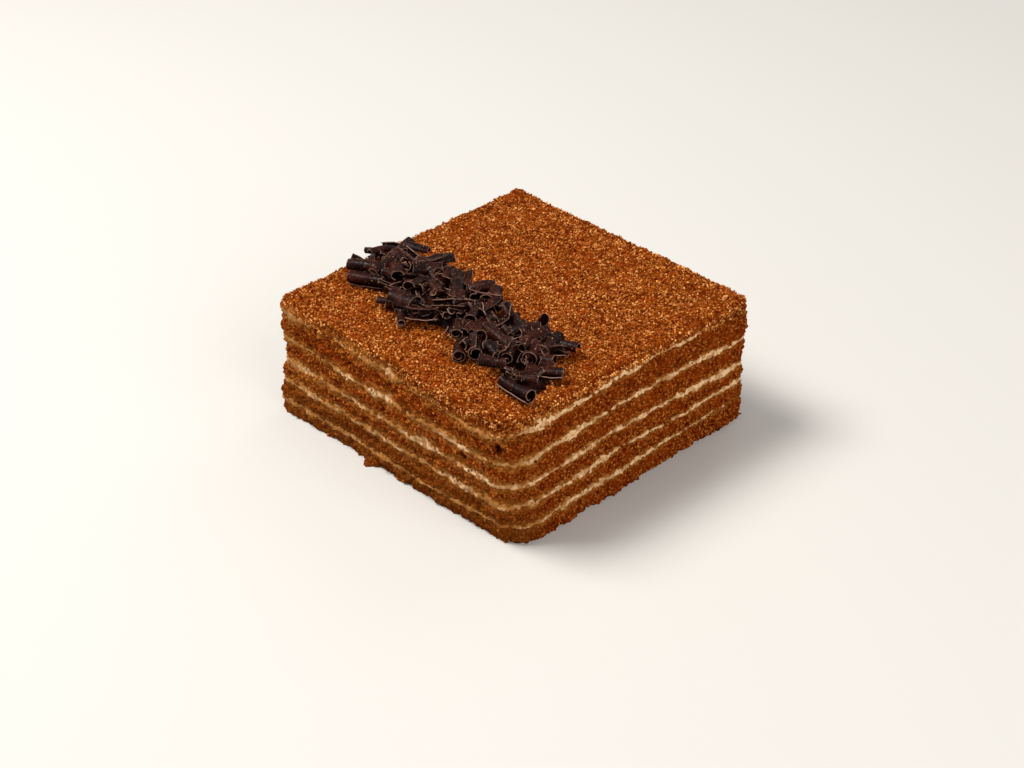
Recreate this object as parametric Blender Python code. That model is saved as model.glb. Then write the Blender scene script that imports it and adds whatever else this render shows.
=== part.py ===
"""Square slab of honey layer cake with a strip of chocolate curls on its top.

Five baked layers and five cream layers lie in turn under a coat of crumbs. The slab stands on
z = 0 and is centred on the origin, its cut left face towards -Y and its cut right face towards
+X. The cake is soft, so its faces lean, its corners differ and its layers rise and dip.
"""

import math
import random
from dataclasses import dataclass

import bmesh
import bpy
from mathutils import Matrix, Vector, noise

# The slab
SIDE_X = 0.0920
SIDE_Y = 0.0890
HEIGHT = 0.0400
GAP = 0.0003  # between touching pieces
CENTRE_SHIFT = (0.0010, -0.0002)  # brings the finished slab's box to the origin

# Stretches between two vertices along one side of the slab
CELLS_X = 27
CELLS_Y = 26

# Layers
CREAM_THICKNESS = 0.0016
CREAM_UNEVEN = 0.35  # share of its thickness by which a cream layer swells and thins
SPONGE_ROWS = 2
SPONGE_BULGE = 0.0003
CREAM_RECESS = 0.0003
RIPPLE_SHARE = 0.25  # share of its thickness by which a cream layer's middle rises and dips
RIPPLE_PITCH = 4.0  # how quickly it does so round the slab
SWELL_PITCH = 5.0
SWELL_OFFSET = 20.0  # keeps the swelling apart from the rise and dip

# Height of each cream layer at the left corner, the middle of the left face, just left and just
# right of the front corner, the middle of the right face and the right corner.
CREAM_HEIGHTS = (
    (0.0046, 0.0044, 0.0052, 0.0054, 0.0066, 0.0072),
    (0.0118, 0.0115, 0.0117, 0.0120, 0.0135, 0.0128),
    (0.0184, 0.0183, 0.0181, 0.0187, 0.0207, 0.0188),
    (0.0262, 0.0255, 0.0248, 0.0262, 0.0282, 0.0270),
    (0.0350, 0.0345, 0.0326, 0.0350, 0.0368, 0.0360),
)
STATIONS = (0.0, 0.5, 0.9, 1.1, 1.5, 2.0)  # in sides, from the left corner past the front one
SIDES_ROUND = 4.0
HIDDEN_STATIONS = (2.5, 3.0, 3.5)

# Unevenness of the cut faces
CORNER_POWER = 5  # how late along a side the outward direction turns to the corner
WAVE_SIZE = 0.0010
WAVE_LENGTH = 0.0140
CRAG_SIZE = 0.0007
CRAG_LENGTH = 0.0035
DENT_DEPTH = 0.0012  # in the edge that runs to the back corner
DENT_STATION = 3.28
DENT_WIDTH = 0.10
FLAKE_SIZE = 0.0024  # of the flake that sticks out of the foot of the left face
FLAKE_STATION = 0.407
FLAKE_WIDTH = 0.02
FLAKE_HEIGHT = 0.0012

# Coat of crumbs
COAT_TOP = 0.0395
COAT_RELIEF = 0.0007
COAT_GRAIN = 0.0022
COAT_EDGE_DROP = 0.0013
COAT_SHOULDER = 0.80  # share of a cell by which the last row but one moves out to the edge
COAT_SHOULDER_DROP = 0.25  # share of the edge's drop that this row takes
COAT_SHOULDER_CELLS = 1.5  # where this row begins, in cells from the edge

# Heap of chocolate curls
CURL_BASE = HEIGHT + GAP
CURL_WALL = 0.0007
CURL_SIDES = 5  # of a curl that stands out
FILLER_SIDES = 4
CURL_TIGHTEN = 0.22  # share by which a curl's radius shrinks from its outer to its inner lip
HEAP_RISE = 0.0024  # height of the heap's middle above its edge
HEAP_LINE = (-0.0185, -0.12)  # the middle line's y at x = 0, and its slope
HEAP_HALF_WIDTH = 0.0125
HEAP_START = -0.0400
HEAP_END = 0.0370
HEAP_TAPER = 0.0100  # length over which each end of the heap comes down
CORE_SKIRT = 0.0008
CORE_INSET = 0.0022
FILLERS = 27
FILLER_SEED = 11
FILLER_STEP = (0.2, 0.8)  # share of its stretch of the heap at which a filler lies
FILLER_SPREAD = 0.72  # share of the heap's half width that the fillers reach
FILLER_HEADING = 90.0
FILLER_PITCH = 9.0
FILLER_LENGTH = (7.0, 10.0)
FILLER_RADIUS = (1.4, 2.1)
FILLER_SWEEP = (190.0, 300.0)
FILLER_FACING = (90.0, 50.0)

# Points round the heap's core, on the top of the coat
CORE_OUTLINE = (
    (-0.0420, -0.0130), (-0.0400, -0.0210), (-0.0330, -0.0275), (-0.0255, -0.0255),
    (-0.0180, -0.0305), (-0.0080, -0.0320), (0.0000, -0.0285), (0.0120, -0.0325),
    (0.0200, -0.0300), (0.0330, -0.0368), (0.0400, -0.0368), (0.0395, -0.0215),
    (0.0330, -0.0135), (0.0180, -0.0105), (0.0000, -0.0085), (-0.0120, -0.0115),
    (-0.0220, -0.0065), (-0.0360, -0.0070),
)


@dataclass(frozen=True)
class Corner:
    """How one corner of the slab departs from a right-angled one."""

    foot: tuple[float, float]  # shift in x and y at the bottom
    head: tuple[float, float]  # shift in x and y at the top
    radius: float


CORNERS = {
    (1, -1): Corner((0.0002, 0.0010), (-0.0010, -0.0029), 0.0080),  # front
    (-1, -1): Corner((-0.0024, 0.0000), (0.0024, -0.0016), 0.0030),  # left
    (1, 1): Corner((-0.0006, 0.0026), (0.0005, 0.0005), 0.0035),  # right
    (-1, 1): Corner((0.0000, 0.0005), (0.0018, 0.0016), 0.0030),  # back
}


@dataclass(frozen=True)
class Curl:
    """A rolled shaving: millimetres and degrees, as measured on the cake's top."""

    x: float
    y: float
    heading: float
    pitch: float
    length: float
    radius: float
    sweep: float
    facing: float = 90.0  # where the middle of the roll's wall looks, 90 being up


SHOWN_CURLS = (
    Curl(37.5, -36.2, 0, 0, 11.5, 1.9, 300, 60),
    Curl(37.0, -25.3, 31, 0, 9.6, 2.1, 320, 60),
    Curl(-2.8, -9.3, 54, 5, 8.0, 2.4, 320, 120),
    Curl(-19.7, -13.3, -5, 0, 8.5, 2.3, 320, 100),
    Curl(-12.6, -18.4, -20, 0, 8.0, 1.8, 300),
    Curl(20.0, -24.8, -7, -5, 12.5, 1.9, 280),
    Curl(28.2, -19.9, -30, -8, 12.0, 1.5, 200),
    Curl(11.2, -16.5, -45, 8, 9.0, 4.2, 170, 270),
    Curl(22.0, -11.8, 40, 60, 5.0, 1.9, 150, 0),
    Curl(26.1, -14.1, -45, 0, 5.0, 1.5, 320),
    Curl(33.2, -12.7, 23, 0, 8.0, 1.7, 240),
    Curl(-34.5, -23.0, 25, 0, 10.7, 1.9, 290),
    Curl(-30.1, -26.8, 27, 0, 10.0, 1.8, 290),
    Curl(-38.6, -8.5, 29, 0, 8.5, 1.5, 250),
    Curl(-41.6, -13.5, 29, 0, 5.5, 1.5, 250),
    Curl(-21.5, -6.8, 62, 5, 8.0, 2.2, 170),
    Curl(-8.3, -33.4, -45, 0, 5.0, 1.6, 320),
    Curl(-12.9, -28.8, 10, 0, 8.0, 2.8, 170),
    Curl(-5.0, -29.0, 40, 0, 8.5, 2.4, 250),
    Curl(14.0, -33.6, -45, 0, 6.0, 2.0, 320),
    Curl(17.5, -30.8, -45, 0, 7.0, 2.1, 320),
    Curl(7.6, -27.9, -50, 5, 7.0, 2.0, 310),
    Curl(30.0, -22.8, -60, 0, 7.0, 1.9, 300),
    Curl(25.4, -32.4, 30, 0, 7.0, 1.8, 200),
    Curl(26.0, -27.0, -60, 0, 7.0, 2.0, 300),
    Curl(-18.0, -31.4, 30, 0, 8.0, 1.8, 260),
    Curl(33.5, -17.9, 60, 0, 7.0, 2.0, 250),
    Curl(3.0, -14.0, 20, 0, 9.0, 2.4, 240),
    Curl(-1.5, -22.0, 45, 0, 9.5, 2.0, 260),
    Curl(6.5, -21.0, -60, 4, 8.0, 2.0, 280),
    Curl(-9.0, -14.5, 10, 0, 8.0, 2.0, 240),
    Curl(12.5, -24.5, -80, 0, 7.0, 1.8, 280),
)


def clear_scene():
    """Remove every object, so that only the cake is left."""
    for old in list(bpy.data.objects):
        bpy.data.objects.remove(old, do_unlink=True)


def make_material(name, colour, roughness):
    """Make a plain material of the given colour and roughness."""
    material = bpy.data.materials.new(name)
    material.use_nodes = True
    shader = material.node_tree.nodes["Principled BSDF"]
    shader.inputs["Base Color"].default_value = (*colour, 1.0)
    shader.inputs["Roughness"].default_value = roughness
    shader.inputs["Metallic"].default_value = 0.0
    return material


def make_object(name, bm, material):
    """Turn a bmesh into a named object with its material."""
    bmesh.ops.recalc_face_normals(bm, faces=bm.faces[:])
    mesh = bpy.data.meshes.new(name)
    bm.to_mesh(mesh)
    bm.free()
    mesh.materials.append(material)
    piece = bpy.data.objects.new(name, mesh)
    bpy.context.scene.collection.objects.link(piece)
    return piece


def station(a, b):
    """Say how far round the slab, in sides, the square's border point a, b lies."""
    if b == -1.0:
        return (a + 1.0) / 2.0
    if a == 1.0:
        return 1.0 + (b + 1.0) / 2.0
    if b == 1.0:
        return 2.0 + (1.0 - a) / 2.0
    return 3.0 + (1.0 - b) / 2.0


def border():
    """List the square's border points once round, from the left corner past the front one."""
    left = [(2.0 * i / CELLS_X - 1.0, -1.0) for i in range(CELLS_X)]
    right = [(1.0, 2.0 * i / CELLS_Y - 1.0) for i in range(CELLS_Y)]
    far_right = [(-a, 1.0) for a, _ in left]
    far_left = [(-1.0, -b) for _, b in right]
    return left + right + far_right + far_left


def slab_point(a, b, z):
    """Place the square's point a, b at height z, with the corners rounded and leaning."""
    x = a * SIDE_X / 2.0
    y = b * SIDE_Y / 2.0
    for (side_x, side_y), corner in CORNERS.items():
        centre_x = side_x * (SIDE_X / 2.0 - corner.radius)
        centre_y = side_y * (SIDE_Y / 2.0 - corner.radius)
        u = (x - centre_x) * side_x / corner.radius
        v = (y - centre_y) * side_y / corner.radius
        if u > 0.0 and v > 0.0:
            x = centre_x + side_x * corner.radius * u * math.sqrt(1.0 - v * v / 2.0)
            y = centre_y + side_y * corner.radius * v * math.sqrt(1.0 - u * u / 2.0)
            break
    place = Vector((x + CENTRE_SHIFT[0], y + CENTRE_SHIFT[1], z))
    rise = z / HEIGHT
    for (side_x, side_y), corner in CORNERS.items():
        share = (0.5 + side_x * x / SIDE_X) * (0.5 + side_y * y / SIDE_Y)
        place.x += share * (corner.foot[0] + (corner.head[0] - corner.foot[0]) * rise)
        place.y += share * (corner.foot[1] + (corner.head[1] - corner.foot[1]) * rise)
    return place


def face_point(a, b, z, bulge):
    """Place a border point on the cut face, with its waves and crags, the dent and the flake."""
    place = slab_point(a, b, z)
    outward = Vector((a**CORNER_POWER, b**CORNER_POWER, 0.0)).normalized()
    wave = WAVE_SIZE * noise.noise(place / WAVE_LENGTH)
    crag = CRAG_SIZE * noise.noise(place / CRAG_LENGTH)
    away = (station(a, b) - DENT_STATION) / DENT_WIDTH
    dent = DENT_DEPTH * math.exp(-away * away) * z / HEIGHT
    beside = (station(a, b) - FLAKE_STATION) / FLAKE_WIDTH
    above = z / FLAKE_HEIGHT
    flake = FLAKE_SIZE * math.exp(-beside * beside - above * above)
    return place + outward * (wave + crag + bulge + flake - dent)


def smooth_between(at, places, values):
    """Read a curve that passes through the values and is level at each of them."""
    for i in range(len(places) - 1):
        if at <= places[i + 1]:
            t = (at - places[i]) / (places[i + 1] - places[i])
            t = t * t * (3.0 - 2.0 * t)
            return values[i] + (values[i + 1] - values[i]) * t
    return values[-1]


def cream_height(layer, at):
    """Give the height of a cream layer's middle at a station; hidden sides take its mean."""
    shown = CREAM_HEIGHTS[layer]
    mean = sum(shown) / len(shown)
    places = STATIONS + HIDDEN_STATIONS + (SIDES_ROUND,)
    values = shown + (mean, mean, mean, shown[0])
    turn = at * math.pi / 2.0
    ripple = noise.noise(Vector((math.cos(turn), math.sin(turn), layer)) * RIPPLE_PITCH)
    return smooth_between(at, places, values) + ripple * CREAM_THICKNESS * RIPPLE_SHARE


def cream_half(layer, at):
    """Give half the thickness of a cream layer at a station."""
    turn = at * math.pi / 2.0
    swell = noise.noise(Vector((math.cos(turn), math.sin(turn), layer + SWELL_OFFSET)) * SWELL_PITCH)
    return CREAM_THICKNESS / 2.0 * (1.0 + CREAM_UNEVEN * 2.0 * swell)


def cream_bottom(layer, at):
    """Give the height of a cream layer's lower side."""
    return cream_height(layer, at) - cream_half(layer, at)


def cream_top(layer, at):
    """Give the height of a cream layer's upper side."""
    return cream_height(layer, at) + cream_half(layer, at)


def layer_solid(lower, upper, rows, bulge):
    """Build one layer from its lower side up.

    lower and upper give the heights of its two sides at a station, and bulge is how far the
    middle of its edge stands out.
    """
    bm = bmesh.new()
    points = border()

    def row_places(row):
        share = row / rows
        out = bulge * math.sin(math.pi * share)
        places = []
        for a, b in points:
            at = station(a, b)
            z = lower(at) + (upper(at) - lower(at)) * share
            places.append(face_point(a, b, z, out))
        return places

    def row_edges(row):
        verts = [bm.verts.new(place) for place in row_places(row)]
        return [bm.edges.new((verts[i - 1], verts[i])) for i in range(len(verts))]

    loops = [row_edges(row) for row in range(rows + 1)]
    for low, high in zip(loops, loops[1:]):
        bmesh.ops.bridge_loops(bm, edges=low + high)
    for loop in (loops[0], loops[-1]):
        end = bmesh.ops.contextual_create(bm, geom=loop)["faces"]
        bmesh.ops.poke(bm, faces=end)
    return bm


def make_sponge(number, material):
    """Build a baked layer between two creams, or between the ground and the first cream."""
    layer = number - 1

    def lower(at):
        return cream_top(layer - 1, at) + GAP if layer else 0.0

    def upper(at):
        return cream_bottom(layer, at) - GAP

    bm = layer_solid(lower, upper, SPONGE_ROWS, SPONGE_BULGE)
    return make_object(f"sponge_{number}", bm, material)


def make_cream(number, material):
    """Build a cream layer."""
    layer = number - 1
    bm = layer_solid(
        lambda at: cream_bottom(layer, at), lambda at: cream_top(layer, at), 1, -CREAM_RECESS
    )
    return make_object(f"cream_{number}", bm, material)


def coat_point(a, b):
    """Place a point of the coat's top, which is grainy and rounds over at its edge."""
    rim = max(abs(a), abs(b))
    cell = 2.0 / CELLS_Y
    z = COAT_TOP
    if rim == 1.0:
        return face_point(a, b, COAT_TOP - COAT_EDGE_DROP, 0.0)
    if rim > 1.0 - COAT_SHOULDER_CELLS * cell:
        grow = (1.0 - (1.0 - COAT_SHOULDER) * cell) / (1.0 - cell)
        a = max(-1.0, min(1.0, a * grow))
        b = max(-1.0, min(1.0, b * grow))
        z -= COAT_EDGE_DROP * COAT_SHOULDER_DROP
    place = slab_point(a, b, z)
    place.z += COAT_RELIEF * noise.noise(place / COAT_GRAIN)
    return place


def make_crumb_coat(material):
    """Build the coat of crumbs that covers the last cream and the top edge."""
    bm = bmesh.new()
    bmesh.ops.create_grid(bm, x_segments=CELLS_X, y_segments=CELLS_Y, size=1.0)
    bmesh.ops.recalc_face_normals(bm, faces=bm.faces[:])
    rim = {}
    for vert in bm.verts:
        a = round(vert.co.x * CELLS_X / 2.0 + CELLS_X / 2.0) * 2.0 / CELLS_X - 1.0
        b = round(vert.co.y * CELLS_Y / 2.0 + CELLS_Y / 2.0) * 2.0 / CELLS_Y - 1.0
        if max(abs(a), abs(b)) == 1.0:
            rim[vert] = (a, b)
        vert.co = coat_point(a, b)
    edges = [edge for edge in bm.edges if edge.is_boundary]
    grown = bmesh.ops.extrude_edge_only(bm, edges=edges)["geom"]
    places = {vert.co.copy().freeze(): spot for vert, spot in rim.items()}
    for vert in (item for item in grown if isinstance(item, bmesh.types.BMVert)):
        a, b = places[vert.co.copy().freeze()]
        at = station(a, b)
        vert.co = face_point(a, b, cream_top(len(CREAM_HEIGHTS) - 1, at) + GAP, 0.0)
    hole = [edge for edge in bm.edges if edge.is_boundary]
    floor = bmesh.ops.contextual_create(bm, geom=hole)["faces"]
    bmesh.ops.poke(bm, faces=floor)
    return make_object("crumb_coat", bm, material)


def heap_rise(x, y):
    """Give the heap's height above its edge at a place on the top."""
    middle = HEAP_LINE[0] + HEAP_LINE[1] * x
    off = min(1.0, abs(y - middle) / HEAP_HALF_WIDTH)
    from_start = max(0.0, (x - HEAP_START) / HEAP_TAPER)
    to_end = max(0.0, (HEAP_END - x) / HEAP_TAPER)
    ends = min(1.0, from_start, to_end)
    return HEAP_RISE * (1.0 - off * off) * ends


def filler_curls():
    """Draw the curls that fill the heap between the ones that stand out."""
    draw = random.Random(FILLER_SEED)
    curls = []
    for i in range(FILLERS):
        x = HEAP_START + (HEAP_END - HEAP_START) * (i + draw.uniform(*FILLER_STEP)) / FILLERS
        y = HEAP_LINE[0] + HEAP_LINE[1] * x + HEAP_HALF_WIDTH * draw.uniform(-FILLER_SPREAD, FILLER_SPREAD)
        curls.append(
            Curl(
                x * 1000.0,
                y * 1000.0,
                draw.uniform(-FILLER_HEADING, FILLER_HEADING),
                draw.gauss(0.0, FILLER_PITCH),
                draw.uniform(*FILLER_LENGTH),
                draw.uniform(*FILLER_RADIUS),
                draw.uniform(*FILLER_SWEEP),
                draw.gauss(*FILLER_FACING),
            )
        )
    return curls


def curl_matrix(curl):
    """Place a curl on the heap, its length along its heading."""
    x = curl.x / 1000.0
    y = curl.y / 1000.0
    lean = abs(math.sin(math.radians(curl.pitch))) * curl.length / 2000.0
    z = CURL_BASE + curl.radius / 1000.0 + max(heap_rise(x, y), lean)
    turn = Matrix.Rotation(math.radians(curl.heading), 4, "Z")
    tilt = Matrix.Rotation(math.radians(-curl.pitch), 4, "Y")
    return Matrix.Translation((x + CENTRE_SHIFT[0], y + CENTRE_SHIFT[1], z)) @ turn @ tilt


def make_curl(curl, sides, collection):
    """Build one rolled shaving with a few flat sides, open along its lip."""
    bm = bmesh.new()
    half = curl.length / 2000.0
    sweep = math.radians(curl.sweep)
    start = math.radians(curl.facing) - sweep / 2.0
    outer = []
    inner = []
    for i in range(sides + 1):
        share = i / sides
        angle = start + sweep * share
        radius = curl.radius / 1000.0 * (1.0 - CURL_TIGHTEN * share)
        spoke = Vector((0.0, math.cos(angle), math.sin(angle)))
        outer.append(spoke * radius)
        inner.append(spoke * (radius - CURL_WALL))
    section = [bm.verts.new(p + Vector((-half, 0.0, 0.0))) for p in outer + inner[::-1]]
    end = bm.faces.new(section)
    grown = bmesh.ops.extrude_face_region(bm, geom=[end], use_keep_orig=True)["geom"]
    far = [item for item in grown if isinstance(item, bmesh.types.BMVert)]
    bmesh.ops.translate(bm, verts=far, vec=(2.0 * half, 0.0, 0.0))
    bm.transform(curl_matrix(curl))
    bmesh.ops.recalc_face_normals(bm, faces=bm.faces[:])
    mesh = bpy.data.meshes.new("curl")
    bm.to_mesh(mesh)
    bm.free()
    piece = bpy.data.objects.new("curl", mesh)
    collection.objects.link(piece)


def heap_core():
    """Build the low mound under the curls."""
    bm = bmesh.new()
    shift_x, shift_y = CENTRE_SHIFT
    outline = [bm.verts.new((x + shift_x, y + shift_y, CURL_BASE)) for x, y in CORE_OUTLINE]
    floor = bm.faces.new(outline)
    grown = bmesh.ops.extrude_face_region(bm, geom=[floor], use_keep_orig=True)["geom"]
    top = next(item for item in grown if isinstance(item, bmesh.types.BMFace))
    bmesh.ops.translate(bm, verts=top.verts[:], vec=(0.0, 0.0, CORE_SKIRT))
    bmesh.ops.recalc_face_normals(bm, faces=bm.faces[:])
    bmesh.ops.inset_region(bm, faces=[top], thickness=CORE_INSET, depth=HEAP_RISE - CORE_SKIRT)
    bmesh.ops.triangulate(bm, faces=[face for face in bm.faces if len(face.verts) > 4])
    return bm


def keep_largest_body(bm):
    """Drop loose scraps and fill sealed hollows: only the largest closed shell stays."""
    bm.faces.ensure_lookup_table()
    left = set(bm.faces)
    shells = []
    while left:
        stack = [left.pop()]
        shell = list(stack)
        while stack:
            for edge in stack.pop().edges:
                for face in edge.link_faces:
                    if face in left:
                        left.remove(face)
                        stack.append(face)
                        shell.append(face)
        shells.append(shell)
    shells.sort(key=len)
    scraps = [face for shell in shells[:-1] for face in shell]
    bmesh.ops.delete(bm, geom=scraps, context="FACES")


def make_chocolate_curls(material):
    """Fuse the curls with the core of the heap into one solid."""
    heap = make_object("chocolate_curls", heap_core(), material)
    curls = bpy.data.collections.new("curls")
    bpy.context.scene.collection.children.link(curls)
    for curl in SHOWN_CURLS:
        make_curl(curl, CURL_SIDES, curls)
    for curl in filler_curls():
        make_curl(curl, FILLER_SIDES, curls)
    fuse = heap.modifiers.new("fuse", "BOOLEAN")
    fuse.operation = "UNION"
    fuse.operand_type = "COLLECTION"
    fuse.collection = curls
    fuse.solver = "EXACT"
    bpy.context.view_layer.update()
    depsgraph = bpy.context.evaluated_depsgraph_get()
    fused = bpy.data.meshes.new_from_object(heap.evaluated_get(depsgraph))
    heap.modifiers.clear()
    for piece in list(curls.objects):
        bpy.data.objects.remove(piece, do_unlink=True)
    bpy.data.collections.remove(curls)
    bm = bmesh.new()
    bm.from_mesh(fused)
    bmesh.ops.triangulate(bm, faces=bm.faces[:])
    keep_largest_body(bm)
    bm.to_mesh(heap.data)
    bm.free()
    bpy.data.meshes.remove(fused)
    return heap


def main():
    """Build every piece of the cake."""
    clear_scene()
    sponge = make_material("baked_layer", (0.27, 0.10, 0.025), 0.85)
    cream = make_material("cream", (0.62, 0.45, 0.25), 0.55)
    crumbs = make_material("crumbs", (0.36, 0.15, 0.04), 0.9)
    chocolate = make_material("chocolate", (0.03, 0.014, 0.01), 0.4)
    for number in range(1, len(CREAM_HEIGHTS) + 1):
        make_sponge(number, sponge)
        make_cream(number, cream)
    make_crumb_coat(crumbs)
    make_chocolate_curls(chocolate)


main()
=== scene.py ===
"""Looks of a square slab of honey layer cake with a strip of chocolate curls on its top.

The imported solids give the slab's place and size. Every layer is modelled again here with its open
crumb, the creams get their lumps and soaked fringes, the coat gets loose crumbs, and the curls are
rolled as thin shavings. Lengths are metres, +Z is up, and the object's origin is the middle of its
underside.
"""

import logging
import math
import random
from collections.abc import Callable
from dataclasses import dataclass, field, replace
from enum import Enum

import bmesh
import bpy
import numpy as np
from mathutils import Matrix, Quaternion, Vector, noise
from mathutils.bvhtree import BVHTree


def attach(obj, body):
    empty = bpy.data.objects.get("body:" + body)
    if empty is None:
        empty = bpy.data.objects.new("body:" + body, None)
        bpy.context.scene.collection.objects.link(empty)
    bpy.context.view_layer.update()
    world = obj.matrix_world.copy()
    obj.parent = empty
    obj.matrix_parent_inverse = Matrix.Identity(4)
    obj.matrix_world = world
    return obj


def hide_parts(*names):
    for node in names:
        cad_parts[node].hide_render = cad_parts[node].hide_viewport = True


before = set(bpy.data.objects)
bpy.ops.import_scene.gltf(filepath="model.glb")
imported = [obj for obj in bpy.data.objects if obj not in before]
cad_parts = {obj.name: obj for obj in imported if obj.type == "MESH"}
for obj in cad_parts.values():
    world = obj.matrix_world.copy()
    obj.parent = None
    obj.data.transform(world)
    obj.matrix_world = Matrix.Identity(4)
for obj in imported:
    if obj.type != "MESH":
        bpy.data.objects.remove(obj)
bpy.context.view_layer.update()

LOG = logging.getLogger("honey_cake")
Array = np.ndarray
Pair = tuple[Array, Array]
Generator = np.random.Generator
Node = bpy.types.Node
NodeTree = bpy.types.NodeTree
Socket = bpy.types.NodeSocket
Material = bpy.types.Material
Mesh = bpy.types.Mesh
BMesh = bmesh.types.BMesh
Colour = tuple[float, float, float]
Place = tuple[float, float, float]
Span = tuple[float, float]
MM = 0.001
SIDES_ROUND = 4.0
SEED_STEP = (7.31, 3.17, 5.03)
FINE_DETAIL = 3.0
ON_BORDER = 0.9999
SAME_PLACE = 1e-6
MIX_SHARE = 0
MIX_FIRST = 6
MIX_SECOND = 7
MIX_RESULT = 2


class Side(Enum):
    """The four upright sides, by the station at which each one begins."""

    LEFT_CUT = 0
    RIGHT_CUT = 1
    FAR_RIGHT = 2
    FAR_LEFT = 3


class Slot(Enum):
    """The material slots, by name."""

    BAKED = "baked_layer"
    CREAM = "cream"
    CRUMBS = "crumbs"
    CHOCOLATE = "chocolate"


class Rough(Enum):
    """What each field of noise roughens, by the number that shifts it off the others."""

    FACE = 0.0
    CRUMB = 1.0
    GRIT = 2.0
    COAT = 3.0
    TEAR = 4.0
    SMEAR = 5.0
    CREAM_GRIT = 6.0
    SWELL = 8.0
    NICK = 9.0
    CLUMP = 11.0
    DRIFT = 12.0


class Ring(Enum):
    """What varies round the slab in each cream layer, by the height of its ring of noise."""

    MIDDLE = 0.0
    HALF = 20.0
    PATCH = 40.0
    FADE = 60.0


def noise_at(points: Array, length: float, rough: Rough = Rough.FACE) -> Array:
    """Read smooth noise at many points.

    Args:
        points: The places, one row each.
        length: The size of the noise's waves in metres.
        rough: What the noise roughens.

    Returns:
        One value for each point, about -1 to 1.
    """
    shifted = points / length + tuple(rough.value * step for step in SEED_STEP)
    return np.array([noise.noise(Vector(place)) for place in shifted.tolist()])


def level_between(at: Array, places: Array, values: Array) -> Array:
    """Read a curve that passes through the values and is level at each of them.

    Args:
        at: Where to read it.
        places: The stations of the values, rising.
        values: The values.

    Returns:
        The curve's values at each station asked for.
    """
    index = np.clip(np.searchsorted(places, at, side="left") - 1, 0, len(places) - 2)
    share = (at - places[index]) / (places[index + 1] - places[index])
    share = share * share * (3.0 - 2.0 * share)
    return values[index] + (values[index + 1] - values[index]) * share


@dataclass(frozen=True)
class Corner:
    """How one corner of the slab departs from a right-angled one."""

    side_x: int
    side_y: int
    foot: tuple[float, float]
    head: tuple[float, float]
    radius: float


@dataclass(frozen=True)
class Pit:
    """A hole that the knife tore in a cut face."""

    station: float
    height: float
    size: float
    depth: float


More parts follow.
